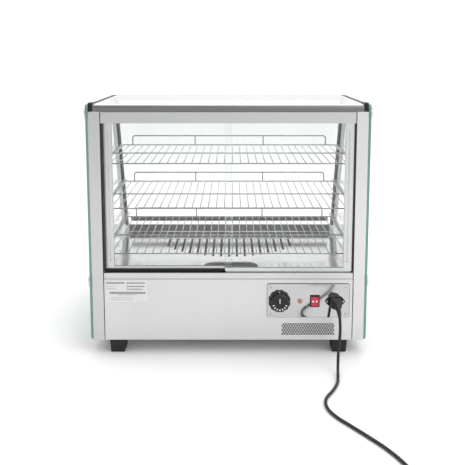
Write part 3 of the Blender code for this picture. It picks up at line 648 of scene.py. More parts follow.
def finishes(colours):
    """Every material of the case, made once."""
    if FINISHES:
        return FINISHES
    across, up, along = (10.0, 800.0, 1100.0), (1100.0, 800.0, 10.0), (1100.0, 10.0, 800.0)
    # Metals: name, colour, roughness, lines, contrast, spread of the roughness, dust and bump
    # Plastics: name, colour, roughness, grain size, bump, painted edge highlight, dust and coat
    FINISHES.update(
        panel_steel=drawn_metal("brushed_steel_across", colours.steel, 0.34, across, 0.006, 0.02, 0.0, 0.004),
        post_steel=drawn_metal("brushed_steel_upright", colours.steel, 0.26, up, 0.008, 0.02, 0.0, 0.006),
        # The left post takes a darker copy of the brushed steel: painted shade
        left_post=drawn_metal("brushed_steel_left_painted_shade", shade(colours.steel, 0.86), 0.26, up, 0.008, 0.02,
                              0.0, 0.006),
        casing_steel=drawn_metal("brushed_steel_along", colours.steel, 0.32, along, 0.010, 0.02, 0.0, 0.008),
        mirror=drawn_metal("polished_steel", colours.mirror, 0.07, across, 0.02, 0.03, 0.10, 0.004),
        # The deck takes a lighter copy of the polished steel: painted light
        deck=drawn_metal("polished_deck_painted_light", shade(colours.mirror, 1.46), 0.16, across, 0.02, 0.04, 0.12, 0.006),
        aluminium=drawn_metal("aluminium_profile", colours.aluminium, 0.33, across, 0.03, 0.04, 0.0, 0.02),
        # The upper track takes a darker copy of the aluminium: painted shade
        upper_aluminium=drawn_metal("upper_profile_painted_shade", shade(colours.aluminium, 0.88), 0.33, across, 0.03,
                                    0.04, 0.0, 0.02),
        stile=drawn_metal("aluminium_stile", colours.aluminium, 0.30, up, 0.06, 0.06),
        dark_metal=drawn_metal("dark_aluminium", colours.dark_metal, 0.36, across, 0.07, 0.06, 0.20),
        # Light grey for the rear rail's upward faces: painted light on its top
        rail_top=drawn_metal("rail_top", (0.86, 0.86, 0.86), 0.22, across, 0.02, 0.04, 0.10, 0.02),
        chrome=drawn_metal("chrome", colours.chrome, 0.10, (60.0, 60.0, 60.0), 0.05, 0.05, 0.0, 0.02),
        # The caps, plug pins and lamp bezel take a lighter copy of the chrome: painted light
        cap_chrome=drawn_metal("cap_chrome", shade(colours.chrome, 2.2), 0.09, (90.0, 90.0, 90.0), 0.04,
                               0.05),
        screw=drawn_metal("zinc_screw", (0.62, 0.61, 0.60), 0.28, (300.0, 300.0, 300.0), 0.10, 0.08),
        heater=drawn_metal("heater_sheath", (0.26, 0.24, 0.22), 0.42, (90.0, 90.0, 90.0), 0.18, 0.10),
        glass=clear_pane(colours.pane),
        glass_edge=pane_edge(colours.pane_edge),
        # Dark grey for the front pane's seal and for the painted shadow round the control plate
        gasket=moulded("grey_gasket_and_painted_shadow", (0.09, 0.09, 0.09), 0.60, 900.0, 0.10, 0.0, 0.1),
        rubber=moulded("black_rubber", colours.rubber, 0.62, 900.0, 0.22, 0.5, 0.35),
        plastic=moulded("black_plastic", colours.plastic, 0.42, 1500.0, 0.14, 0.6, 0.18),
        knob=moulded("knob_plastic", colours.plastic, 0.34, 1900.0, 0.08, 0.8, 0.12, 0.15),
        dial=moulded("dial_face", shade(colours.plastic, 3.4), 0.40, 1900.0, 0.08, 0.0, 0.08),
        coated=moulded("black_coated_steel", shade(colours.plastic, 1.5), 0.38, 700.0, 0.15, 0.5, 0.15),
        jacket=moulded("lead_jacket", colours.jacket, 0.46, 1000.0, 0.10, 0.0, 0.20),
        rocker=lens("rocker_red", colours.rocker, 0.10),
        lamp=lens("lamp_amber", colours.lamp, 0.10),
        # White for the knob's print and for the painted highlights on the rocker
        white_print=printed("white_print", colours.print_and_highlight_white),
        label=printed("label_film", colours.label, 0.30),
        label_bars=printed("label_bars", colours.label_bars, 0.40),
    )
    return FINISHES


def look(name):
    """A finish by its name."""
    return finishes(bpy.context.scene.case_colours)[name]


# Stage

def studio_sky(strength):
    """Even white light, a little dimmer behind the operator and on the operator's left."""
    world = bpy.data.worlds.new("studio_sky")
    world.use_nodes = True
    tree = world.node_tree
    back = tree.nodes["Background"]
    spot = tree.nodes.new("ShaderNodeTexCoord").outputs["Generated"]
    parts = node(tree, "ShaderNodeSeparateXYZ", Vector=spot)
    side = remap(tree, parts.outputs["X"], -0.42, 0.28)
    rear = remap(tree, parts.outputs["Y"], 0.15, -0.55)
    dim = blend(tree, side, (0.52, 0.525, 0.53), (1.0, 1.0, 1.0))
    light = tree.nodes.new("ShaderNodeLightPath")
    around = blend(tree, rear, (1.0, 1.0, 1.0), dim)
    tree.links.new(blend(tree, light.outputs["Is Camera Ray"], around, (1.0, 1.0, 1.0)), back.inputs["Color"])
    back.inputs["Strength"].default_value = strength
    bpy.context.scene.world = world


def soft_lamp(name, power, size, place, target):
    """A large square lamp that looks at a point."""
    lamp = bpy.data.lights.new(name, "AREA")
    lamp.energy = power
    lamp.size = size
    held = bpy.data.objects.new(name, lamp)
    held.location = place
    held.rotation_euler = (Vector(target) - Vector(place)).to_track_quat("-Z", "Y").to_euler()
    held.visible_camera = False
    bpy.context.scene.collection.objects.link(held)


def studio_floor():
    """A wide pale floor with a barely uneven surface."""
    shape = bmesh.new()
    bmesh.ops.create_circle(shape, cap_ends=True, radius=9.0, segments=96)
    made = mesh_from(shape)
    material, tree, shader = start("studio_floor", 0.75)
    marks = use(tree, handled_surface(), Size=1.3)
    tree.links.new(blend(tree, marks.outputs["Drift"], (0.955, 0.955, 0.955), (0.97, 0.97, 0.97)),
                   shader.inputs["Base Color"])
    made.materials.append(material)
    floor = bpy.data.objects.new("studio_floor", made)
    floor.location.z = -0.0002
    bpy.context.scene.collection.objects.link(floor)


class DISPLAYCASE_OT_stage(bpy.types.Operator):
    """Set up the camera, the soft light and the pale floor"""
    bl_idname = "displaycase.stage"
    bl_label = "Stage"

    def execute(self, context):
        stage = context.scene.case_stage
        camera = bpy.data.cameras.new("stage_camera")
        camera.lens = stage.lens
        camera.shift_y = stage.shift
        camera.clip_start, camera.clip_end = 0.05, 60.0
        held = bpy.data.objects.new("stage_camera", camera)
        held.location = (stage.offset, REAR_Y - stage.distance, stage.height)
        held.rotation_euler = (math.pi / 2 - stage.pitch, 0.0, 0.0)
        context.scene.collection.objects.link(held)
        context.scene.camera = held
        context.scene.view_settings.view_transform = "Standard"
        studio_sky(stage.sky)
        soft_lamp("key_lamp", stage.key, 2.2, (1.9, -2.3, 2.6), (0.0, 0.0, 0.3))
        soft_lamp("top_lamp", stage.top, 2.6, (0.4, 0.6, 3.0), (0.0, 0.0, 0.3))
        studio_floor()
        return {"FINISHED"}


# Mains lead

LEAD_EXIT = (0.2612, -0.3160, 0.1355)
LEAD_RELIEF = [LEAD_EXIT, (0.2614, -0.3230, 0.1350), (0.2617, -0.3300, 0.1328), (0.2620, -0.3368, 0.1288),
               (0.2622, -0.3425, 0.1228)]
LEAD_ROUTE = [(0.2623, -0.3487, 0.1140), (0.2620, -0.3560, 0.0960), (0.2605, -0.3605, 0.0760),
              (0.2580, -0.3640, 0.0540), (0.2560, -0.3710, 0.0300), (0.2540, -0.3840, 0.0125),
              (0.2515, -0.4030, 0.0053), (0.2465, -0.4300, 0.0039), (0.2300, -0.4680, 0.0038),
              (0.2110, -0.5030, 0.0038), (0.2080, -0.5380, 0.0038), (0.2200, -0.5720, 0.0038),
              (0.2430, -0.6060, 0.0038), (0.2700, -0.6440, 0.0038), (0.3000, -0.6900, 0.0038),
              (0.3200, -0.7320, 0.0038), (0.3320, -0.7700, 0.0038), (0.3372, -0.8010, 0.0038)]
COIL_CENTRE = (0.290, -0.833)
PLUG_TAIL = Vector((COIL_CENTRE[0] - 0.052, COIL_CENTRE[1] - 0.0505, 0.0188))
PLUG_HEADING = Vector((-1.0, -0.06, 0.0)).normalized()


def coil_points(lead):
    """The turns of the coil, inward on the counter and outward on top, clockwise from above."""
    lay, per_turn = 0.0038, 16
    inner = lead.coil_outer - lead.diameter * lead.lower_turns
    points = []
    for step in range(round(lead.coil_turns * per_turn) + 1):
        turns = step / per_turn
        if turns <= lead.lower_turns:
            radius = lead.coil_outer - lead.diameter * turns
        else:
            radius = inner + lead.diameter * (turns - lead.lower_turns)
        climb = min(1.0, max(0.0, (turns - lead.lower_turns + 0.15) / 0.30))
        height = lay + lead.diameter * climb * climb * (3 - 2 * climb)
        angle = -2 * math.pi * turns
        points.append((COIL_CENTRE[0] + radius * math.cos(angle), COIL_CENTRE[1] + radius * math.sin(angle),
                       height))
    return points


def lead_plug():
    """The round earthed plug: ribbed grip, pins and side contacts."""
    body = [(0.0165, 0.0), (0.0172, -0.0006), (0.0180, -0.0018), (0.0183, -0.0060), (0.0185, -0.0140)]
    for rib in range(4):
        low = -0.0155 - rib * 0.0027
        wide = 0.0180 - rib * 0.0009
        body += [(wide, low), (wide - 0.0009, low - 0.0007), (wide - 0.0009, low - 0.0014),
                 (wide, low - 0.0021)]
    body += [(0.0132, -0.0272), (0.0100, -0.0300), (0.0080, -0.0330)]
    for rib in range(7):
        low = -0.0350 - rib * 0.0036
        wide = 0.0071 - rib * 0.0004
        body += [(wide, low), (wide, low - 0.0018), (wide - 0.0010, low - 0.0022),
                 (wide - 0.0010, low - 0.0030)]
    body += [(0.0042, -0.0615), (0.0037, -0.0620)]
    face = PLUG_TAIL + PLUG_HEADING * 0.062
    sideways = Vector((-PLUG_HEADING.y, PLUG_HEADING.x, 0.0))
    made = stand(lathe(body, 48), face, PLUG_HEADING)
    shell = piece("lead_plug_body", made, "plastic", replaces=["lead_plug"])
    pin = [(0.0024, -0.002), (0.0024, 0.0172), (0.0021, 0.0184), (0.0012, 0.0190)]
    sleeve = [(0.0027, -0.001), (0.0027, 0.0004), (0.0024, 0.0008)]
    parts = []
    for offset in (-0.0095, 0.0095):
        parts.append((stand(lathe(pin, 20), face + sideways * offset, PLUG_HEADING), 0))
        parts.append((stand(lathe(sleeve, 20), face + sideways * offset, PLUG_HEADING), 1))
    for side in (-1, 1):
        clip = extruded(rectangle((0.0, 0.0), (0.0045, 0.0012)), -0.0120, 0.0003, "z")
        parts.append((stand(clip, face + Vector((0, 0, side * 0.0160)), PLUG_HEADING, math.pi / 2), 0))
    pins = piece("lead_plug_pins", together(parts), ("cap_chrome", "plastic"))
    return [shell, pins]


def lead_connector():
    """The moulded connector in the inlet, with finger ridges, and its ribbed strain relief."""
    x, back, z = LEAD_EXIT
    front = at_depth(-0.0042)
    # Sections of the grip: distance from its front, half width, half height and corner radius
    stations = ((0.0, 0.0140, 0.0104, 0.0030), (0.0016, 0.0140, 0.0105, 0.0040),
                (0.0090, 0.0138, 0.0104, 0.0045),
                (0.0110, 0.0130, 0.0098, 0.0045), (0.0130, 0.0138, 0.0104, 0.0045),
                (0.0155, 0.0130, 0.0098, 0.0045), (0.0178, 0.0136, 0.0103, 0.0045),
                (0.0205, 0.0127, 0.0097, 0.0045), (0.0235, 0.0131, 0.0100, 0.0050),
                (0.0310, 0.0112, 0.0092, 0.0060), (0.0372, 0.0088, 0.0080, 0.0070),
                (0.0392, 0.0074, 0.0070, 0.0066))
    reach, deep = front - back, stations[-1][0]
    rings = []
    for along, half_x, half_z, corner in stations:
        outline = filleted(rectangle((x, z), (2 * half_x, 2 * half_z)), min(corner, half_z * 0.98), 5)
        y = front - along * reach / deep
        rings.append([(point[0], y, point[1]) for point in outline])
    nose = extruded(filleted(rectangle((x, z), (0.0232, 0.0156)), 0.002, 3), front - 0.001,
                    at_depth(0.0125), "y")
    body = together([rings_mesh(rings), nose])
    shell = piece("lead_connector_body", body, "plastic", replaces=["lead_connector"])
    line = smooth_line(LEAD_RELIEF, 6)
    rings, count = [], len(line) - 1
    for index, spot in enumerate(line):
        ahead = (line[min(index + 1, count)] - line[max(index - 1, 0)]).normalized()
        turn = ahead.to_track_quat("Z", "Y").to_matrix()
        share = index / count
        groove = 0.0007 if index % 4 == 2 and 2 < index < count - 1 else 0.0
        wide = 0.0068 * (1 - share) + 0.0042 * share - groove
        rings.append([spot + turn @ Vector((*pair, 0.0)) for pair in circle((0.0, 0.0), wide, 20)])
    relief = piece("lead_strain_relief", rings_mesh(rings), "plastic")
    return [shell, relief]


def smooth_line(points, steps):
    """Points on a smooth curve through the given ones."""
    route = [Vector(point) for point in points]
    route = [route[0] * 2 - route[1], *route, route[-1] * 2 - route[-2]]
    fine = []
    for index in range(1, len(route) - 2):
        before, begin, end, after = route[index - 1:index + 3]
        for step in range(steps):
            t = step / steps
            fine.append(0.5 * (2 * begin + (end - before) * t
                               + (2 * before - 5 * begin + 4 * end - after) * t ** 2
                               + (3 * begin - before - 3 * end + after) * t ** 3))
    fine.append(route[-2])
    return fine


def coil_ties():
    """Two soft bands round the coil."""
    bands = []
    low, high, inner, outer = 0.0001, 0.0152, 0.0288, 0.0538
    middle, height = (inner + outer) / 2, (low + high) / 2
    for angle in (2.3, -0.9):
        outline = filleted(rectangle((middle, height), (outer - inner, high - low)), 0.004, 5)
        hole = filleted(rectangle((middle, height), (outer - inner - 0.0016, high - low - 0.0012)), 0.0034, 5)
        band = perforated(outline, [hole], -0.004, 0.004, "y", 0.0003)
        band.transform(Matrix.Translation((*COIL_CENTRE, 0.0)) @ Matrix.Rotation(angle, 4, "Z"))
        bands.append(band)
    return piece("lead_ties", together(bands), "rubber")


class DISPLAYCASE_OT_lead(bpy.types.Operator):
    """Lay the mains lead with its connector, coil, ties and plug"""
    bl_idname = "displaycase.lead"
    bl_label = "Mains lead"

    def execute(self, context):
        lead = context.scene.case_lead
        last = (COIL_CENTRE[0], COIL_CENTRE[1] - lead.coil_outer)
        tail = [(last[0] - 0.016, last[1] + 0.0010, 0.0114), (last[0] - 0.030, last[1] - 0.0002, 0.0136),
                (last[0] - 0.042, last[1] - 0.0010, 0.0170), PLUG_TAIL, PLUG_TAIL + PLUG_HEADING * 0.012]
        points = [*LEAD_RELIEF, *LEAD_ROUTE, *coil_points(lead), *tail]
        curve = bpy.data.curves.new("mains_lead", "CURVE")
        curve.dimensions = "3D"
        curve.bevel_depth = lead.diameter / 2
        curve.bevel_resolution = 4
        curve.use_fill_caps = True
        curve.resolution_u = 6
        spline = curve.splines.new("BEZIER")
        spline.bezier_points.add(len(points) - 1)
        for point, spot in zip(spline.bezier_points, points):
            point.co = spot
            point.handle_left_type = point.handle_right_type = "AUTO"
        curve.materials.append(look("jacket"))
        cord = bpy.data.objects.new("mains_lead", curve)
        context.scene.collection.objects.link(cord)
        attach(cord, "case")
        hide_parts("lead_cord", "lead_coil")
        ends = [*lead_connector(), coil_ties(), *lead_plug()]
        return {"FINISHED"}


# Glass

def glass_pane(name, made, across, body="case", rounding=0.0):
    """A pane that stands for its frame node, green on the faces that don't look along its thickness."""
    for face in made.polygons:
        if abs(face.normal.dot(Vector(across))) < 0.86:
            face.material_index = 1
    shown = piece(name + "_pane", made, ("glass", "glass_edge"), body, [name], smooth=False)
    if rounding:
        bevel = shown.modifiers.new("polished_edges", "BEVEL")
        bevel.width = rounding
        bevel.segments = 2
        bevel.material = 1


def leaning(low, high, near, far):
    """A strip of the leaning front between two heights and two distances behind its outer face."""
    return [(at_depth(front_depth(low, far)), low), (at_depth(front_depth(low, near)), low),
            (at_depth(front_depth(high, near)), high), (at_depth(front_depth(high, far)), high)]


# Where the caps hold a side pane: depth and height
CAP_SPOTS = (("rear_top", 0.022, 0.596), ("rear_bottom", 0.022, 0.180), ("front_bottom", 0.520, 0.085))
CAP_SEAT = 0.3393                 # X of the outer face of the right side pane


class DISPLAYCASE_OT_panes(bpy.types.Operator):
    """Make the side, top and front panes with polished green edges"""
    bl_idname = "displaycase.panes"
    bl_label = "Glass panes"

    def execute(self, context):
        edge = context.scene.case_sizes.pane_edge
        for side in ("left", "right"):
            low, high = corners_of(f"side_glass_{side}")
            top = high.z
            corners = [(0.0, low.z), (FRONT_DEPTH, low.z), (FRONT_DEPTH, FRONT_KNEE), (front_depth(top), top),
                       (0.0, top)]
            outline = filleted([(at_depth(d), z) for d, z in corners], 0.010, 7)
            holes = [circle((at_depth(depth), z), 0.0045, 20) for _, depth, z in CAP_SPOTS]
            made = perforated(outline, holes, low.x, high.x, "x", edge)
            glass_pane(f"side_glass_{side}", made, (1, 0, 0))
        low, high = corners_of("front_glass")
        strip = leaning(low.z, high.z, 0.0, 0.005)
        lean = Vector((0.0, 1.0, LEAN)).normalized()
        glass_pane("front_glass", extruded(strip, low.x, high.x, "x"), lean, rounding=edge)
        low, high = corners_of("top_glass")
        middle, size = (low + high) / 2, high - low
        outline = filleted(rectangle(middle.xy, size.xy), 0.002, 4)
        glass_pane("top_glass", perforated(outline, [], low.z, high.z, "z", edge), (0, 0, 1))
        return {"FINISHED"}


class DISPLAYCASE_OT_caps(bpy.types.Operator):
    """Make the domed chrome caps that hold the side panes"""
    bl_idname = "displaycase.caps"
    bl_label = "Glass caps"

    def execute(self, context):
        dome = [(0.0040, -0.0058), (0.0040, 0.0), (0.0164, 0.0), (0.0170, 0.0005), (0.0170, 0.0016),
                (0.0164, 0.0026), (0.0150, 0.0042), (0.0128, 0.0056), (0.0100, 0.0065), (0.0066, 0.0069),
                (0.0060, 0.0066), (0.0054, 0.0066), (0.0048, 0.0069), (0.0018, 0.0070)]
        for side, sign in (("left", -1), ("right", 1)):
            for spot, depth, z in CAP_SPOTS:
                origin = (sign * CAP_SEAT, at_depth(depth), z)
                made = stand(lathe(dome, 44), origin, (sign, 0, 0))
                piece(f"cap_{spot}_{side}", made, "cap_chrome", replaces=[f"glass_cap_{spot}_{side}"])
        return {"FINISHED"}


# Base

def vent_holes(sizes):
    """Staggered rows of small round holes low on the rear panel."""
    rows, columns, left, low = 6, 22, 0.1330, 0.0506
    holes = []
    for row in range(rows):
        shift = sizes.vent_pitch / 2 if row % 2 else 0.0
        for column in range(columns - row % 2):
            spot = (left + shift + column * sizes.vent_pitch, low + row * sizes.vent_row)
            holes.append(circle(spot, sizes.vent, 12))
    return holes


def control_holes(ease=0.0):
    """The openings for the controls, each wider and taller by an ease."""
    return [circle((KNOB_X, CONTROL_Z), 0.006 + ease, 20), circle((LAMP_X, CONTROL_Z), 0.0063 + ease, 20),
            rectangle((SWITCH_X, CONTROL_Z), (0.0222 + ease, 0.0288 + ease)),
            rectangle(INLET_CENTRE, (0.0285 + ease, 0.0205 + ease))]


class DISPLAYCASE_OT_base(bpy.types.Operator):
    """Make the base: rear panel with vents, casing, posts and feet"""
    bl_idname = "displaycase.base"
    bl_label = "Steel base"

    def execute(self, context):
        sizes = context.scene.case_sizes
        low, high = corners_of("rear_panel")
        middle = ((low.x + high.x) / 2, (low.z + high.z) / 2 + 0.0005)
        outline = filleted(rectangle(middle, (high.x - low.x, high.z - low.z - 0.0010)), 0.0006, 2)
        holes = [*control_holes(0.0004), *vent_holes(sizes)]
        face = perforated(outline, holes, low.y, low.y + SHEET, "y", 0.0002)
        fold = filleted([(low.y, low.z), (high.y, low.z), (high.y, low.z + SHEET),
                         (low.y + SHEET, low.z + SHEET)], 0.0007, 3)
        flange = extruded(fold, low.x, high.x, "x")
        piece("rear_panel_sheet", together([face, flange]), "panel_steel", replaces=["rear_panel"])
        # A black sheet behind the vents: painted shade seen through the holes
        behind = filleted(rectangle((0.1965, 0.0630), (0.140, 0.044)), 0.003, 3)
        shade_sheet = perforated(behind, [], low.y + 0.0019, low.y + 0.0024, "y")
        piece("vent_painted_shade", shade_sheet, "plastic")
        dress("base_casing", "casing_steel", 0.0006)
        # The left post takes the darker steel: painted shade
        for side, finish in (("left", "left_post"), ("right", "post_steel")):
            low, high = corners_of(f"rear_post_{side}")
            outline = [(low.x, high.y), (low.x, low.y), (high.x, low.y), (high.x, high.y),
                       (high.x - SHEET, high.y), (high.x - SHEET, low.y + SHEET),
                       (low.x + SHEET, low.y + SHEET), (low.x + SHEET, high.y)]
            tight, wide = filleted(outline, 0.0007, 3), filleted(outline, sizes.fold, 4)
            bent = tight[:4] + wide[5:15] + tight[12:]     # only the two outer corners are wide
            piece(f"post_{side}", extruded(bent, low.z, high.z, "z"), finish, replaces=[f"rear_post_{side}"])
        for end in ("rear", "front"):
            for side in ("left", "right"):
                dress(f"foot_{end}_{side}", "rubber", 0.0008)
        return {"FINISHED"}


# Door frame and tracks

class DISPLAYCASE_OT_tracks(bpy.types.Operator):
    """Make the door tracks, the black guide strip and the door buffers"""
    bl_idname = "displaycase.tracks"
    bl_label = "Door tracks"

    def execute(self, context):
        # The upper track takes the darker aluminium: painted shade
        dress("upper_track", "upper_aluminium", 0.0004)
        dress("lower_track", "aluminium", 0.0004)
        low, high = corners_of("lower_track")
        foot, under, top = 0.1990, high.z + 0.0001, high.z + 0.0006
        strip = [(0.0120, foot), (0.0125, foot), (0.0125, under), (0.0155, under), (0.0155, foot),
                 (0.0160, foot), (0.0160, top), (0.0120, top)]
        strip = [(at_depth(depth), z) for depth, z in strip]
        piece("guide_strip", extruded(strip, low.x + 0.0004, high.x - 0.0004, "x"), "rubber")
        # A black strip in the gap under the lower track: painted shadow line
        y, bottom = PANEL_FACE + 0.0008, low.z
        gap = [(y, bottom - 0.0018), (y + 0.003, bottom - 0.0018), (y + 0.003, bottom + 0.0002),
               (y, bottom + 0.0002)]
        piece("track_painted_shadow", extruded(gap, low.x, high.x, "x"), "rubber")
        for side in ("left", "right"):
            dress(f"door_buffer_{side}", "rubber", 0.0006)
        return {"FINISHED"}


class DISPLAYCASE_OT_doors(bpy.types.Operator):
    """Make the two sliding doors"""
    bl_idname = "displaycase.doors"
    bl_label = "Sliding doors"

    def execute(self, context):
        edge = context.scene.case_sizes.pane_edge
        for side, sign in (("left", -1), ("right", 1)):
            body = f"{side}_door"
            low, high = corners_of(f"door_{side}_glass")
            made = perforated(rectangle((low.xz + high.xz) / 2, high.xz - low.xz), [], low.y, high.y,
                              "y", edge)
            glass_pane(f"door_{side}_glass", made, (0, 1, 0), body)
            dress(f"door_{side}_frame", "stile", 0.0005)
            low, high = corners_of(f"door_{side}_frame")
            middle = (low.y + high.y) / 2
            outline = filleted(rectangle((-sign * 0.0080, 0.2145), (0.0016, 0.0066)), 0.0005, 2)
            bead = perforated(outline, [], middle - 0.0034, middle + 0.0034, "y", 0.0003)
            piece(f"door_{side}_end_bead", bead, "rubber", body)
        return {"FINISHED"}


class DISPLAYCASE_OT_top(bpy.types.Operator):
    """Make the rear top rail, its corner blocks, the front rail and the glass seals"""
    bl_idname = "displaycase.top"
    bl_label = "Top frame"

    def execute(self, context):
        low, high = corners_of("top_rear_rail")
        arc = [(0.0088 * (1 - math.cos(turn)), high.z - 0.0088 * (1 - math.sin(turn)))
               for turn in (math.radians(9 * step) for step in range(11))]
        section = [(0.0012, low.z), (0.0012, low.z + 0.0012), (0.0, low.z + 0.0016), (0.0, low.z + 0.0066),
                   (0.0005, low.z + 0.0069), (0.0005, low.z + 0.0074),
                   *[(d, z) for d, z in arc if z > low.z + 0.0079],
                   (0.0290, high.z), (0.0300, high.z - 0.0008), (0.0300, low.z)]
        rail = extruded([(at_depth(d), z) for d, z in section], low.x, high.x, "x")
        # Faces that look up take the light grey: painted light on the rail's top
        for face in rail.polygons:
            face.material_index = int(face.normal.z > 0.9)
        piece("rear_rail", rail, ("dark_metal", "rail_top"), replaces=["top_rear_rail"])
        for side in ("left", "right"):
            dress(f"corner_block_{side}", "plastic", 0.0006)
            dress(f"glass_seal_{side}", "rubber", 0.0008)
        dress("top_front_rail", "aluminium", 0.0005)
        return {"FINISHED"}


# Shelves

class DISPLAYCASE_OT_shelves(bpy.types.Operator):
    """Make the three wire shelves, their guards, arms and uprights"""
    bl_idname = "displaycase.shelves"
    bl_label = "Wire shelves"

    def execute(self, context):
        sizes = context.scene.case_sizes
        for name in ("top", "middle", "bottom"):
            self.grille(name, sizes)
            self.guard(name, sizes.guard_wire)
            for side in ("left", "right"):
                dress(f"shelf_arm_{name}_{side}", "casing_steel", 0.0004)
        for side in ("left", "right"):
            dress(f"front_upright_{side}", "coated", 0.0006)
        return {"FINISHED"}

    def grille(self, name, sizes):
        """A wire shelf: the rim, a stay along its middle and the wires across it."""
        low, high = corners_of(f"shelf_{name}")
        rim = sizes.rim_wire
        inset, level = rim + 0.0002, low.z + rim
        left, right, near, far = low.x + inset, high.x - inset, low.y + inset, high.y - inset
        ring = filleted([(left, near, level), (right, near, level), (right, far, level), (left, far, level)],
                        0.011, 6)
        frame_wire = tubes([ring], rim, closed=True)
        y = at_depth(0.220)
        stay = tubes([[(left, y, level), (right, y, level)]], rim)
        count = round((high.x - low.x - 0.010) / sizes.cross_pitch)
        top = high.z + 0.0002
        lines = []
        for wire in range(count + 1):
            x = (wire - count / 2) * sizes.cross_pitch
            lines.append([(x, low.y + 0.0004, top - 0.0004), (x, low.y + 0.0010, top),
                          (x, high.y - 0.0010, top), (x, high.y - 0.0004, top - 0.0004)])
        wires = tubes(lines, sizes.cross_wire)
        piece(f"shelf_{name}_wires", together([frame_wire, stay, wires]), "chrome", f"{name}_shelf",
              [f"shelf_{name}"], smooth=False)

    def guard(self, name, radius):
        """The raised rail at a shelf's far edge, on its bent ends and two stems."""
        low, high = corners_of(f"guard_{name}")
        y, foot, top, end = (low.y + high.y) / 2, low.z - 0.0006, high.z - radius, low.x + radius
        hoop = filleted([(end, y, foot), (end, y, top), (-end, y, top), (-end, y, foot)], 0.008, 6, False)
        stems = [[(x, y, foot), (x, y, top)] for x in (-0.100, 0.100)]
        piece(f"guard_{name}_wires", together([tubes([hoop], radius), tubes(stems, radius * 0.9)]),
              "chrome", f"{name}_shelf", [f"guard_{name}"], smooth=False)


# Deck

class DISPLAYCASE_OT_deck(bpy.types.Operator):
    """Make the slotted deck, its dark front trim, the water pan and the heater"""
    bl_idname = "displaycase.deck"
    bl_label = "Heated deck"

    def execute(self, context):
        self.plate(context.scene.case_sizes)
        self.trim()
        self.pan()
        self.heater()
        return {"FINISHED"}

    def plate(self, sizes):
        """The deck with its slots, which end on one line and shorten to both sides, and its two lips."""
        low, high = corners_of("floor_plate")
        end, longest, spread = 0.448, 0.188, 0.205
        slots = []
        for step in range(-8, 9):
            x = step * sizes.slot_pitch
            reach = longest * math.sqrt(1 - (x / spread) ** 2)
            corners = rectangle((x, at_depth(end - reach / 2)), (sizes.slot_width, reach))
            slots.append(filleted(corners, sizes.slot_width * 0.49, 5))
        sheet = perforated(rectangle((0.0, (low.y + high.y) / 2), (high.x - low.x, high.y - low.y)), slots,
                           DECK_TOP - SHEET, DECK_TOP, "z", 0.0003)
        lips = []
        for y, top in ((low.y, REAR_LIP), (high.y - SHEET, FRONT_LIP)):
            lip = filleted([(y, DECK_TOP - SHEET), (y + SHEET, DECK_TOP - SHEET), (y + SHEET, top), (y, top)],
                           0.0006, 3)
            lips.append(extruded(lip, low.x, high.x, "x"))
        piece("deck_plate", together([sheet, *lips]), "deck", replaces=["floor_plate"])

    def trim(self):
        """The dark channel over the front lip, and the seal on the inside of the front pane."""
        low, high = corners_of("floor_plate")
        near, far = high.y - SHEET, high.y
        foot, under, hem, cover = DECK_TOP + 0.0020, FRONT_LIP + 0.0001, FRONT_LIP - 0.004, FRONT_LIP + 0.0011
        channel = [(near - 0.0011, foot), (near - 0.0001, foot), (near - 0.0001, under),
                   (far + 0.0001, under), (far + 0.0001, hem), (far + 0.0009, hem), (far + 0.0009, cover),
                   (near - 0.0011, cover)]
        piece("deck_front_trim", extruded(channel, low.x + 0.012, high.x - 0.012, "x"), "dark_metal")
        reach = corners_of("front_glass")[1].x - 0.010
        seal = extruded(leaning(0.2040, 0.2170, 0.0052, 0.0066), -reach, reach, "x")
        piece("front_glass_seal", seal, "gasket")

    def pan(self):
        """The deep-drawn pan with a rolled rim."""
        low, high = corners_of("water_pan")
        middle, size = (low + high) / 2, high - low
        # Up the outside, over the rim and down the inside: inset from the rim, and height
        steps = ((0.0075, low.z), (0.0040, low.z + 0.0008), (0.0022, low.z + 0.0030),
                 (0.0016, high.z - 0.0040), (0.0008, high.z - 0.0026), (0.0, high.z - 0.0016),
                 (0.0002, high.z - 0.0006), (0.0010, high.z), (0.0020, high.z - 0.0004),
                 (0.0027, high.z - 0.0020), (0.0034, low.z + 0.0040), (0.0046, low.z + 0.0022),
                 (0.0080, low.z + 0.0012))
        rings = []
        for inset, level in steps:
            ring = rectangle(middle.xy, (size.x - 2 * inset, size.y - 2 * inset))
            outline = filleted(ring, 0.030 - inset, 10)
            rings.append([(point.x, point.y, level) for point in outline])
        piece("pan_bowl", rings_mesh(rings), "mirror", "pan", ["water_pan"])

    def heater(self):
        """The tubular heater, bent back at its right end."""
        low, high = corners_of("heating_element")
        near, far, end, level = low.y + 0.004, high.y - 0.004, high.x - 0.004, (low.z + high.z) / 2
        loop = filleted([(low.x, near, level), (end, near, level), (end, far, level), (low.x, far, level)],
                        0.0445, 12, False)
        piece("heater_tube", tubes([loop], 0.0040, resolution=3), "heater", replaces=["heating_element"],
              smooth=False)


# Controls

def screw_head(radius, height, origin):
    """A pan head facing the operator, with a cross recess drawn as black bars: painted shade in the recess.
    """
    head = lathe([(radius, 0.0), (radius, height * 0.35), (radius * 0.86, height * 0.75),
                  (radius * 0.55, height)], 24)
    recess = rectangle((0.0, 0.0), (radius * 1.05, radius * 0.26))
    arms = []
    # Black bars stand for the cross recess: painted shade
    for roll in (0.4, 0.4 + math.pi / 2):
        bar = extruded(recess, height * 0.98, height * 1.02, "z")
        bar.transform(Matrix.Rotation(roll, 4, "Z"))
        arms.append(stand(bar, origin, (0, -1, 0)))
    return [(stand(head, origin, (0, -1, 0)), 0), *[(arm, 1) for arm in arms]]


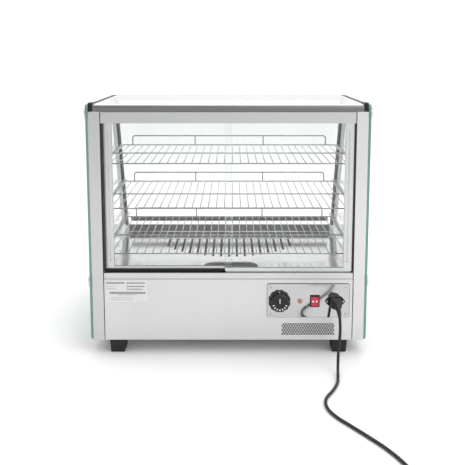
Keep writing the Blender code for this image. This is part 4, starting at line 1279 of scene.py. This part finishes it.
class DISPLAYCASE_OT_controls(bpy.types.Operator):
    """Make the control plate with its screws, lamp, switch and inlet"""
    bl_idname = "displaycase.controls"
    bl_label = "Control plate"

    def execute(self, context):
        low, high = corners_of("control_plate")
        middle, size = (low + high) / 2, high - low
        outline = filleted(rectangle(middle.xz, size.xz), 0.005, 6)
        piece("control_plate_sheet", perforated(outline, control_holes(), low.y, high.y, "y", 0.0003),
              "mirror", replaces=["control_plate"])
        # A dark rim a little wider than the plate, behind it: painted shadow round the plate's edge
        rim = rectangle((middle.x, middle.z + 0.0003), (size.x + 0.0020, size.z + 0.0022))
        gasket = perforated(filleted(rim, 0.0058, 6), control_holes(0.0006), high.y - 0.0001,
                            PANEL_FACE + 0.0001, "y")
        piece("plate_painted_shadow_rim", gasket, "gasket")
        inset = 0.0085
        heads = []
        for x in (low.x + inset, high.x - inset):
            for z in (low.z + inset, high.z - inset):
                heads += screw_head(0.0027, 0.0013, (x, low.y, z))
        piece("plate_screws", together(heads), ("screw", "plastic"))
        dress("thermostat_body", "casing_steel", 0.0006)
        self.lamp()
        self.switch()
        self.inlet()
        return {"FINISHED"}

    def lamp(self):
        """A ribbed amber lens in a slim bezel."""
        low, high = corners_of("pilot_lamp")
        x, z = (low.x + high.x) / 2, (low.z + high.z) / 2
        bezel = [(0.0060, -0.0190), (0.0060, -0.0002), (0.0070, -0.0002), (0.0070, 0.0010), (0.0066, 0.0014),
                 (0.0061, 0.0014), (0.0059, 0.0006)]
        glow = [(0.0057, 0.0004), (0.0058, 0.0026), (0.0052, 0.0036), (0.0038, 0.0042), (0.0018, 0.0045)]
        origin = (x, PLATE_FACE - 0.0003, z)
        parts = [(stand(lathe(bezel, 36), origin, (0, -1, 0)), 1),
                 (stand(lathe(glow, 48, 12, 0.0005, (0, 1, 2)), origin, (0, -1, 0)), 0)]
        piece("lamp_lens", together(parts), ("lamp", "cap_chrome"), replaces=["pilot_lamp"])

    def switch(self):
        """The black switch frame and the red rocker with two white dots, painted highlights."""
        dress("switch_body", "plastic", 0.0003)
        low, high = corners_of("switch_rocker")
        x, z = (low.x + high.x) / 2, (low.z + high.z) / 2
        section = [(-0.0112, -0.0014), (-0.0080, -0.0009), (-0.0040, 0.0001), (-0.0015, 0.0005),
                   (0.0015, 0.0005), (0.0040, 0.0001), (0.0080, -0.0009), (0.0112, -0.0014), (0.0112, 0.0040),
                   (0.0030, 0.0078), (-0.0030, 0.0078), (-0.0112, 0.0040)]
        shape = extruded([(depth, height) for height, depth in section], -0.0091, 0.0091, "x")
        tilt = Matrix.Rotation(math.radians(-7), 4, "X")
        front = corners_of("switch_body")[0].y + 0.0008
        origin = Matrix.Translation((x, front - 0.0016, z))
        shape.transform(origin @ tilt)
        # Two white dots on the rocker: painted highlights
        dots = []
        for offset in (-0.0043, 0.0043):
            dot = lathe([(0.0023, 0.0), (0.0022, 0.0006), (0.0013, 0.0009)], 20)
            dot = stand(dot, (offset, 0.0004, 0.0), (0, -1, 0))
            dot.transform(origin @ tilt)
            dots.append(dot)
        piece("rocker_red", shape, "rocker", "rocker", ["switch_rocker"], 0.0004)
        piece("rocker_painted_highlights", together(dots), "white_print", "rocker")

    def inlet(self):
        """The appliance inlet's ears get their screws; the socket itself is the frame's."""
        dress("power_inlet", "plastic", 0.0004)
        low, high = corners_of("power_inlet")
        z = (low.z + high.z) / 2
        heads = []
        for x in (low.x + 0.0052, high.x - 0.0052):
            heads += screw_head(0.0024, 0.0012, (x, low.y, z))
        piece("inlet_screws", together(heads), ("screw", "plastic"))


class DISPLAYCASE_OT_knob(bpy.types.Operator):
    """Make the thermostat knob with its scalloped skirt, dial face and marks"""
    bl_idname = "displaycase.knob"
    bl_label = "Thermostat knob"

    def execute(self, context):
        sizes = context.scene.case_sizes
        low, high = corners_of("thermostat_knob")
        base, face = high.y, high.y - low.y
        skirt = [(0.0040, 0.0), (0.0262, 0.0), (0.0272, 0.0008), (0.0275, 0.0024), (0.0272, 0.0052),
                 (0.0262, 0.0062), (0.0232, 0.0064)]
        cap = [(0.0224, 0.0058), (0.0222, 0.0100), (0.0216, face - 0.0022), (0.0210, face - 0.0008),
               (0.0202, face - 0.0001), (0.0196, face - 0.0001)]
        dial = [(0.0197, face - 0.0006), (0.0190, face - 0.0004), (0.0120, face - 0.0006),
                (0.0020, face - 0.0008)]
        origin = (KNOB_X, base, CONTROL_Z)
        parts = [(stand(lathe(skirt, 144, sizes.knob_lobes, 0.0016, (1, 2, 3, 4, 5)), origin, (0, -1, 0)), 0),
                 (stand(lathe(cap, 144, 36, 0.0005, (1, 2)), origin, (0, -1, 0)), 0),
                 (stand(lathe(dial, 60), origin, (0, -1, 0)), 1)]
        piece("knob_cap", together(parts), ("knob", "dial"), "knob", ["thermostat_knob"])
        first, apart = 198, 24       # degrees
        marks = [self.mark((0.0042, 0.0024), 0.0160, math.radians(first + step * apart), face - 0.00025)
                 for step in range(7)]
        marks.append(self.mark((0.0120, 0.0017), 0.0064, math.pi / 2, face - 0.00030))
        marks.append(self.mark((0.0022, 0.0018), 0.0243, math.pi / 2, 0.00650))
        piece("knob_marks", together(marks), "white_print", "knob")
        return {"FINISHED"}

    def mark(self, size, reach, turn, height):
        """A thin printed mark that points at the knob's axis, at a height over the knob's foot."""
        made = perforated(filleted(rectangle((0.0, 0.0), size), 0.0006, 3), [], -0.0003, 0.0003, "z")
        made.transform(Matrix.Rotation(turn, 4, "Z"))
        made.transform(Matrix.Translation((reach * math.cos(turn), reach * math.sin(turn), 0.0)))
        upright = Matrix.Rotation(math.pi / 2, 4, "X")
        centre = (KNOB_X, corners_of("thermostat_knob")[1].y - height, CONTROL_Z)
        made.transform(Matrix.Translation(centre) @ upright)
        return made


class DISPLAYCASE_OT_label(bpy.types.Operator):
    """Make the blank rating label with plain dark blocks"""
    bl_idname = "displaycase.label"
    bl_label = "Blank label"

    def execute(self, context):
        left, right, low, high = -0.3005, -0.1990, 0.1330, 0.1868
        outline = rectangle(((left + right) / 2, (low + high) / 2), (right - left, high - low))
        film = perforated(filleted(outline, 0.002, 4), [], PANEL_FACE - 0.00018, PANEL_FACE, "y")
        piece("label_film", film, "label")
        # Rows of blocks: middle height, left end, right end, height and pitch of the blocks
        rows = ((0.1810, -0.2975, -0.2530, 0.0040, 0.0056), (0.1808, -0.2480, -0.2020, 0.0034, 0.0050),
                (0.1722, -0.2480, -0.2030, 0.0030, 0.0044), (0.1652, -0.2480, -0.2110, 0.0028, 0.0050),
                (0.1665, -0.2985, -0.2640, 0.0007, 0.0400), (0.1725, -0.2985, -0.2600, 0.0006, 0.0400),
                (0.1560, -0.2900, -0.2040, 0.0052, 0.0046), (0.1512, -0.2700, -0.2250, 0.0014, 0.0030),
                (0.1440, -0.2900, -0.2100, 0.0004, 0.0900), (0.1390, -0.2900, -0.2300, 0.0004, 0.0900))
        bars = []
        for z, left, right, tall, pitch in rows:
            x = left
            while x < right - pitch * 0.3:
                wide = min(pitch * 0.62, right - x)
                bar = rectangle((x + wide / 2, z), (wide, tall))
                bars.append(extruded(bar, PANEL_FACE - 0.00024, PANEL_FACE - 0.00016, "y"))
                x += pitch
        piece("label_print", together(bars), "label_bars")
        return {"FINISHED"}


# Add-on

STEPS = ("stage", "lead", "panes", "caps", "base", "tracks", "doors", "top", "shelves", "deck", "controls",
         "knob", "label")
SETTINGS = {"case_sizes": CaseSizes, "case_colours": CaseColours, "case_lead": LeadSizes,
            "case_stage": StageSettings}


class DISPLAYCASE_PT_panel(bpy.types.Panel):
    """Lists the pieces of the display case"""
    bl_idname = "DISPLAYCASE_PT_panel"
    bl_label = "Display case"
    bl_space_type = "VIEW_3D"
    bl_region_type = "UI"
    bl_category = "Display case"

    def draw(self, context):
        layout = self.layout
        for step in STEPS:
            layout.operator(f"displaycase.{step}")
        for settings in SETTINGS:
            box = layout.box()
            values = getattr(context.scene, settings)
            for key in values.__annotations__:
                box.prop(values, key)


CLASSES = (*SETTINGS.values(), DISPLAYCASE_OT_stage, DISPLAYCASE_OT_lead, DISPLAYCASE_OT_panes,
           DISPLAYCASE_OT_caps, DISPLAYCASE_OT_base, DISPLAYCASE_OT_tracks, DISPLAYCASE_OT_doors,
           DISPLAYCASE_OT_top, DISPLAYCASE_OT_shelves, DISPLAYCASE_OT_deck, DISPLAYCASE_OT_controls,
           DISPLAYCASE_OT_knob, DISPLAYCASE_OT_label, DISPLAYCASE_PT_panel)


def register():
    """Add the classes and their settings."""
    for made in CLASSES:
        bpy.utils.register_class(made)
    for name, made in SETTINGS.items():
        setattr(bpy.types.Scene, name, PointerProperty(type=made))


def unregister():
    """Remove the classes and their settings."""
    for name in SETTINGS:
        delattr(bpy.types.Scene, name)
    for made in reversed(CLASSES):
        bpy.utils.unregister_class(made)


def main():
    """Build the case."""
    register()
    for step in STEPS:
        getattr(bpy.ops.displaycase, step)()


if __name__ == "__main__":
    main()
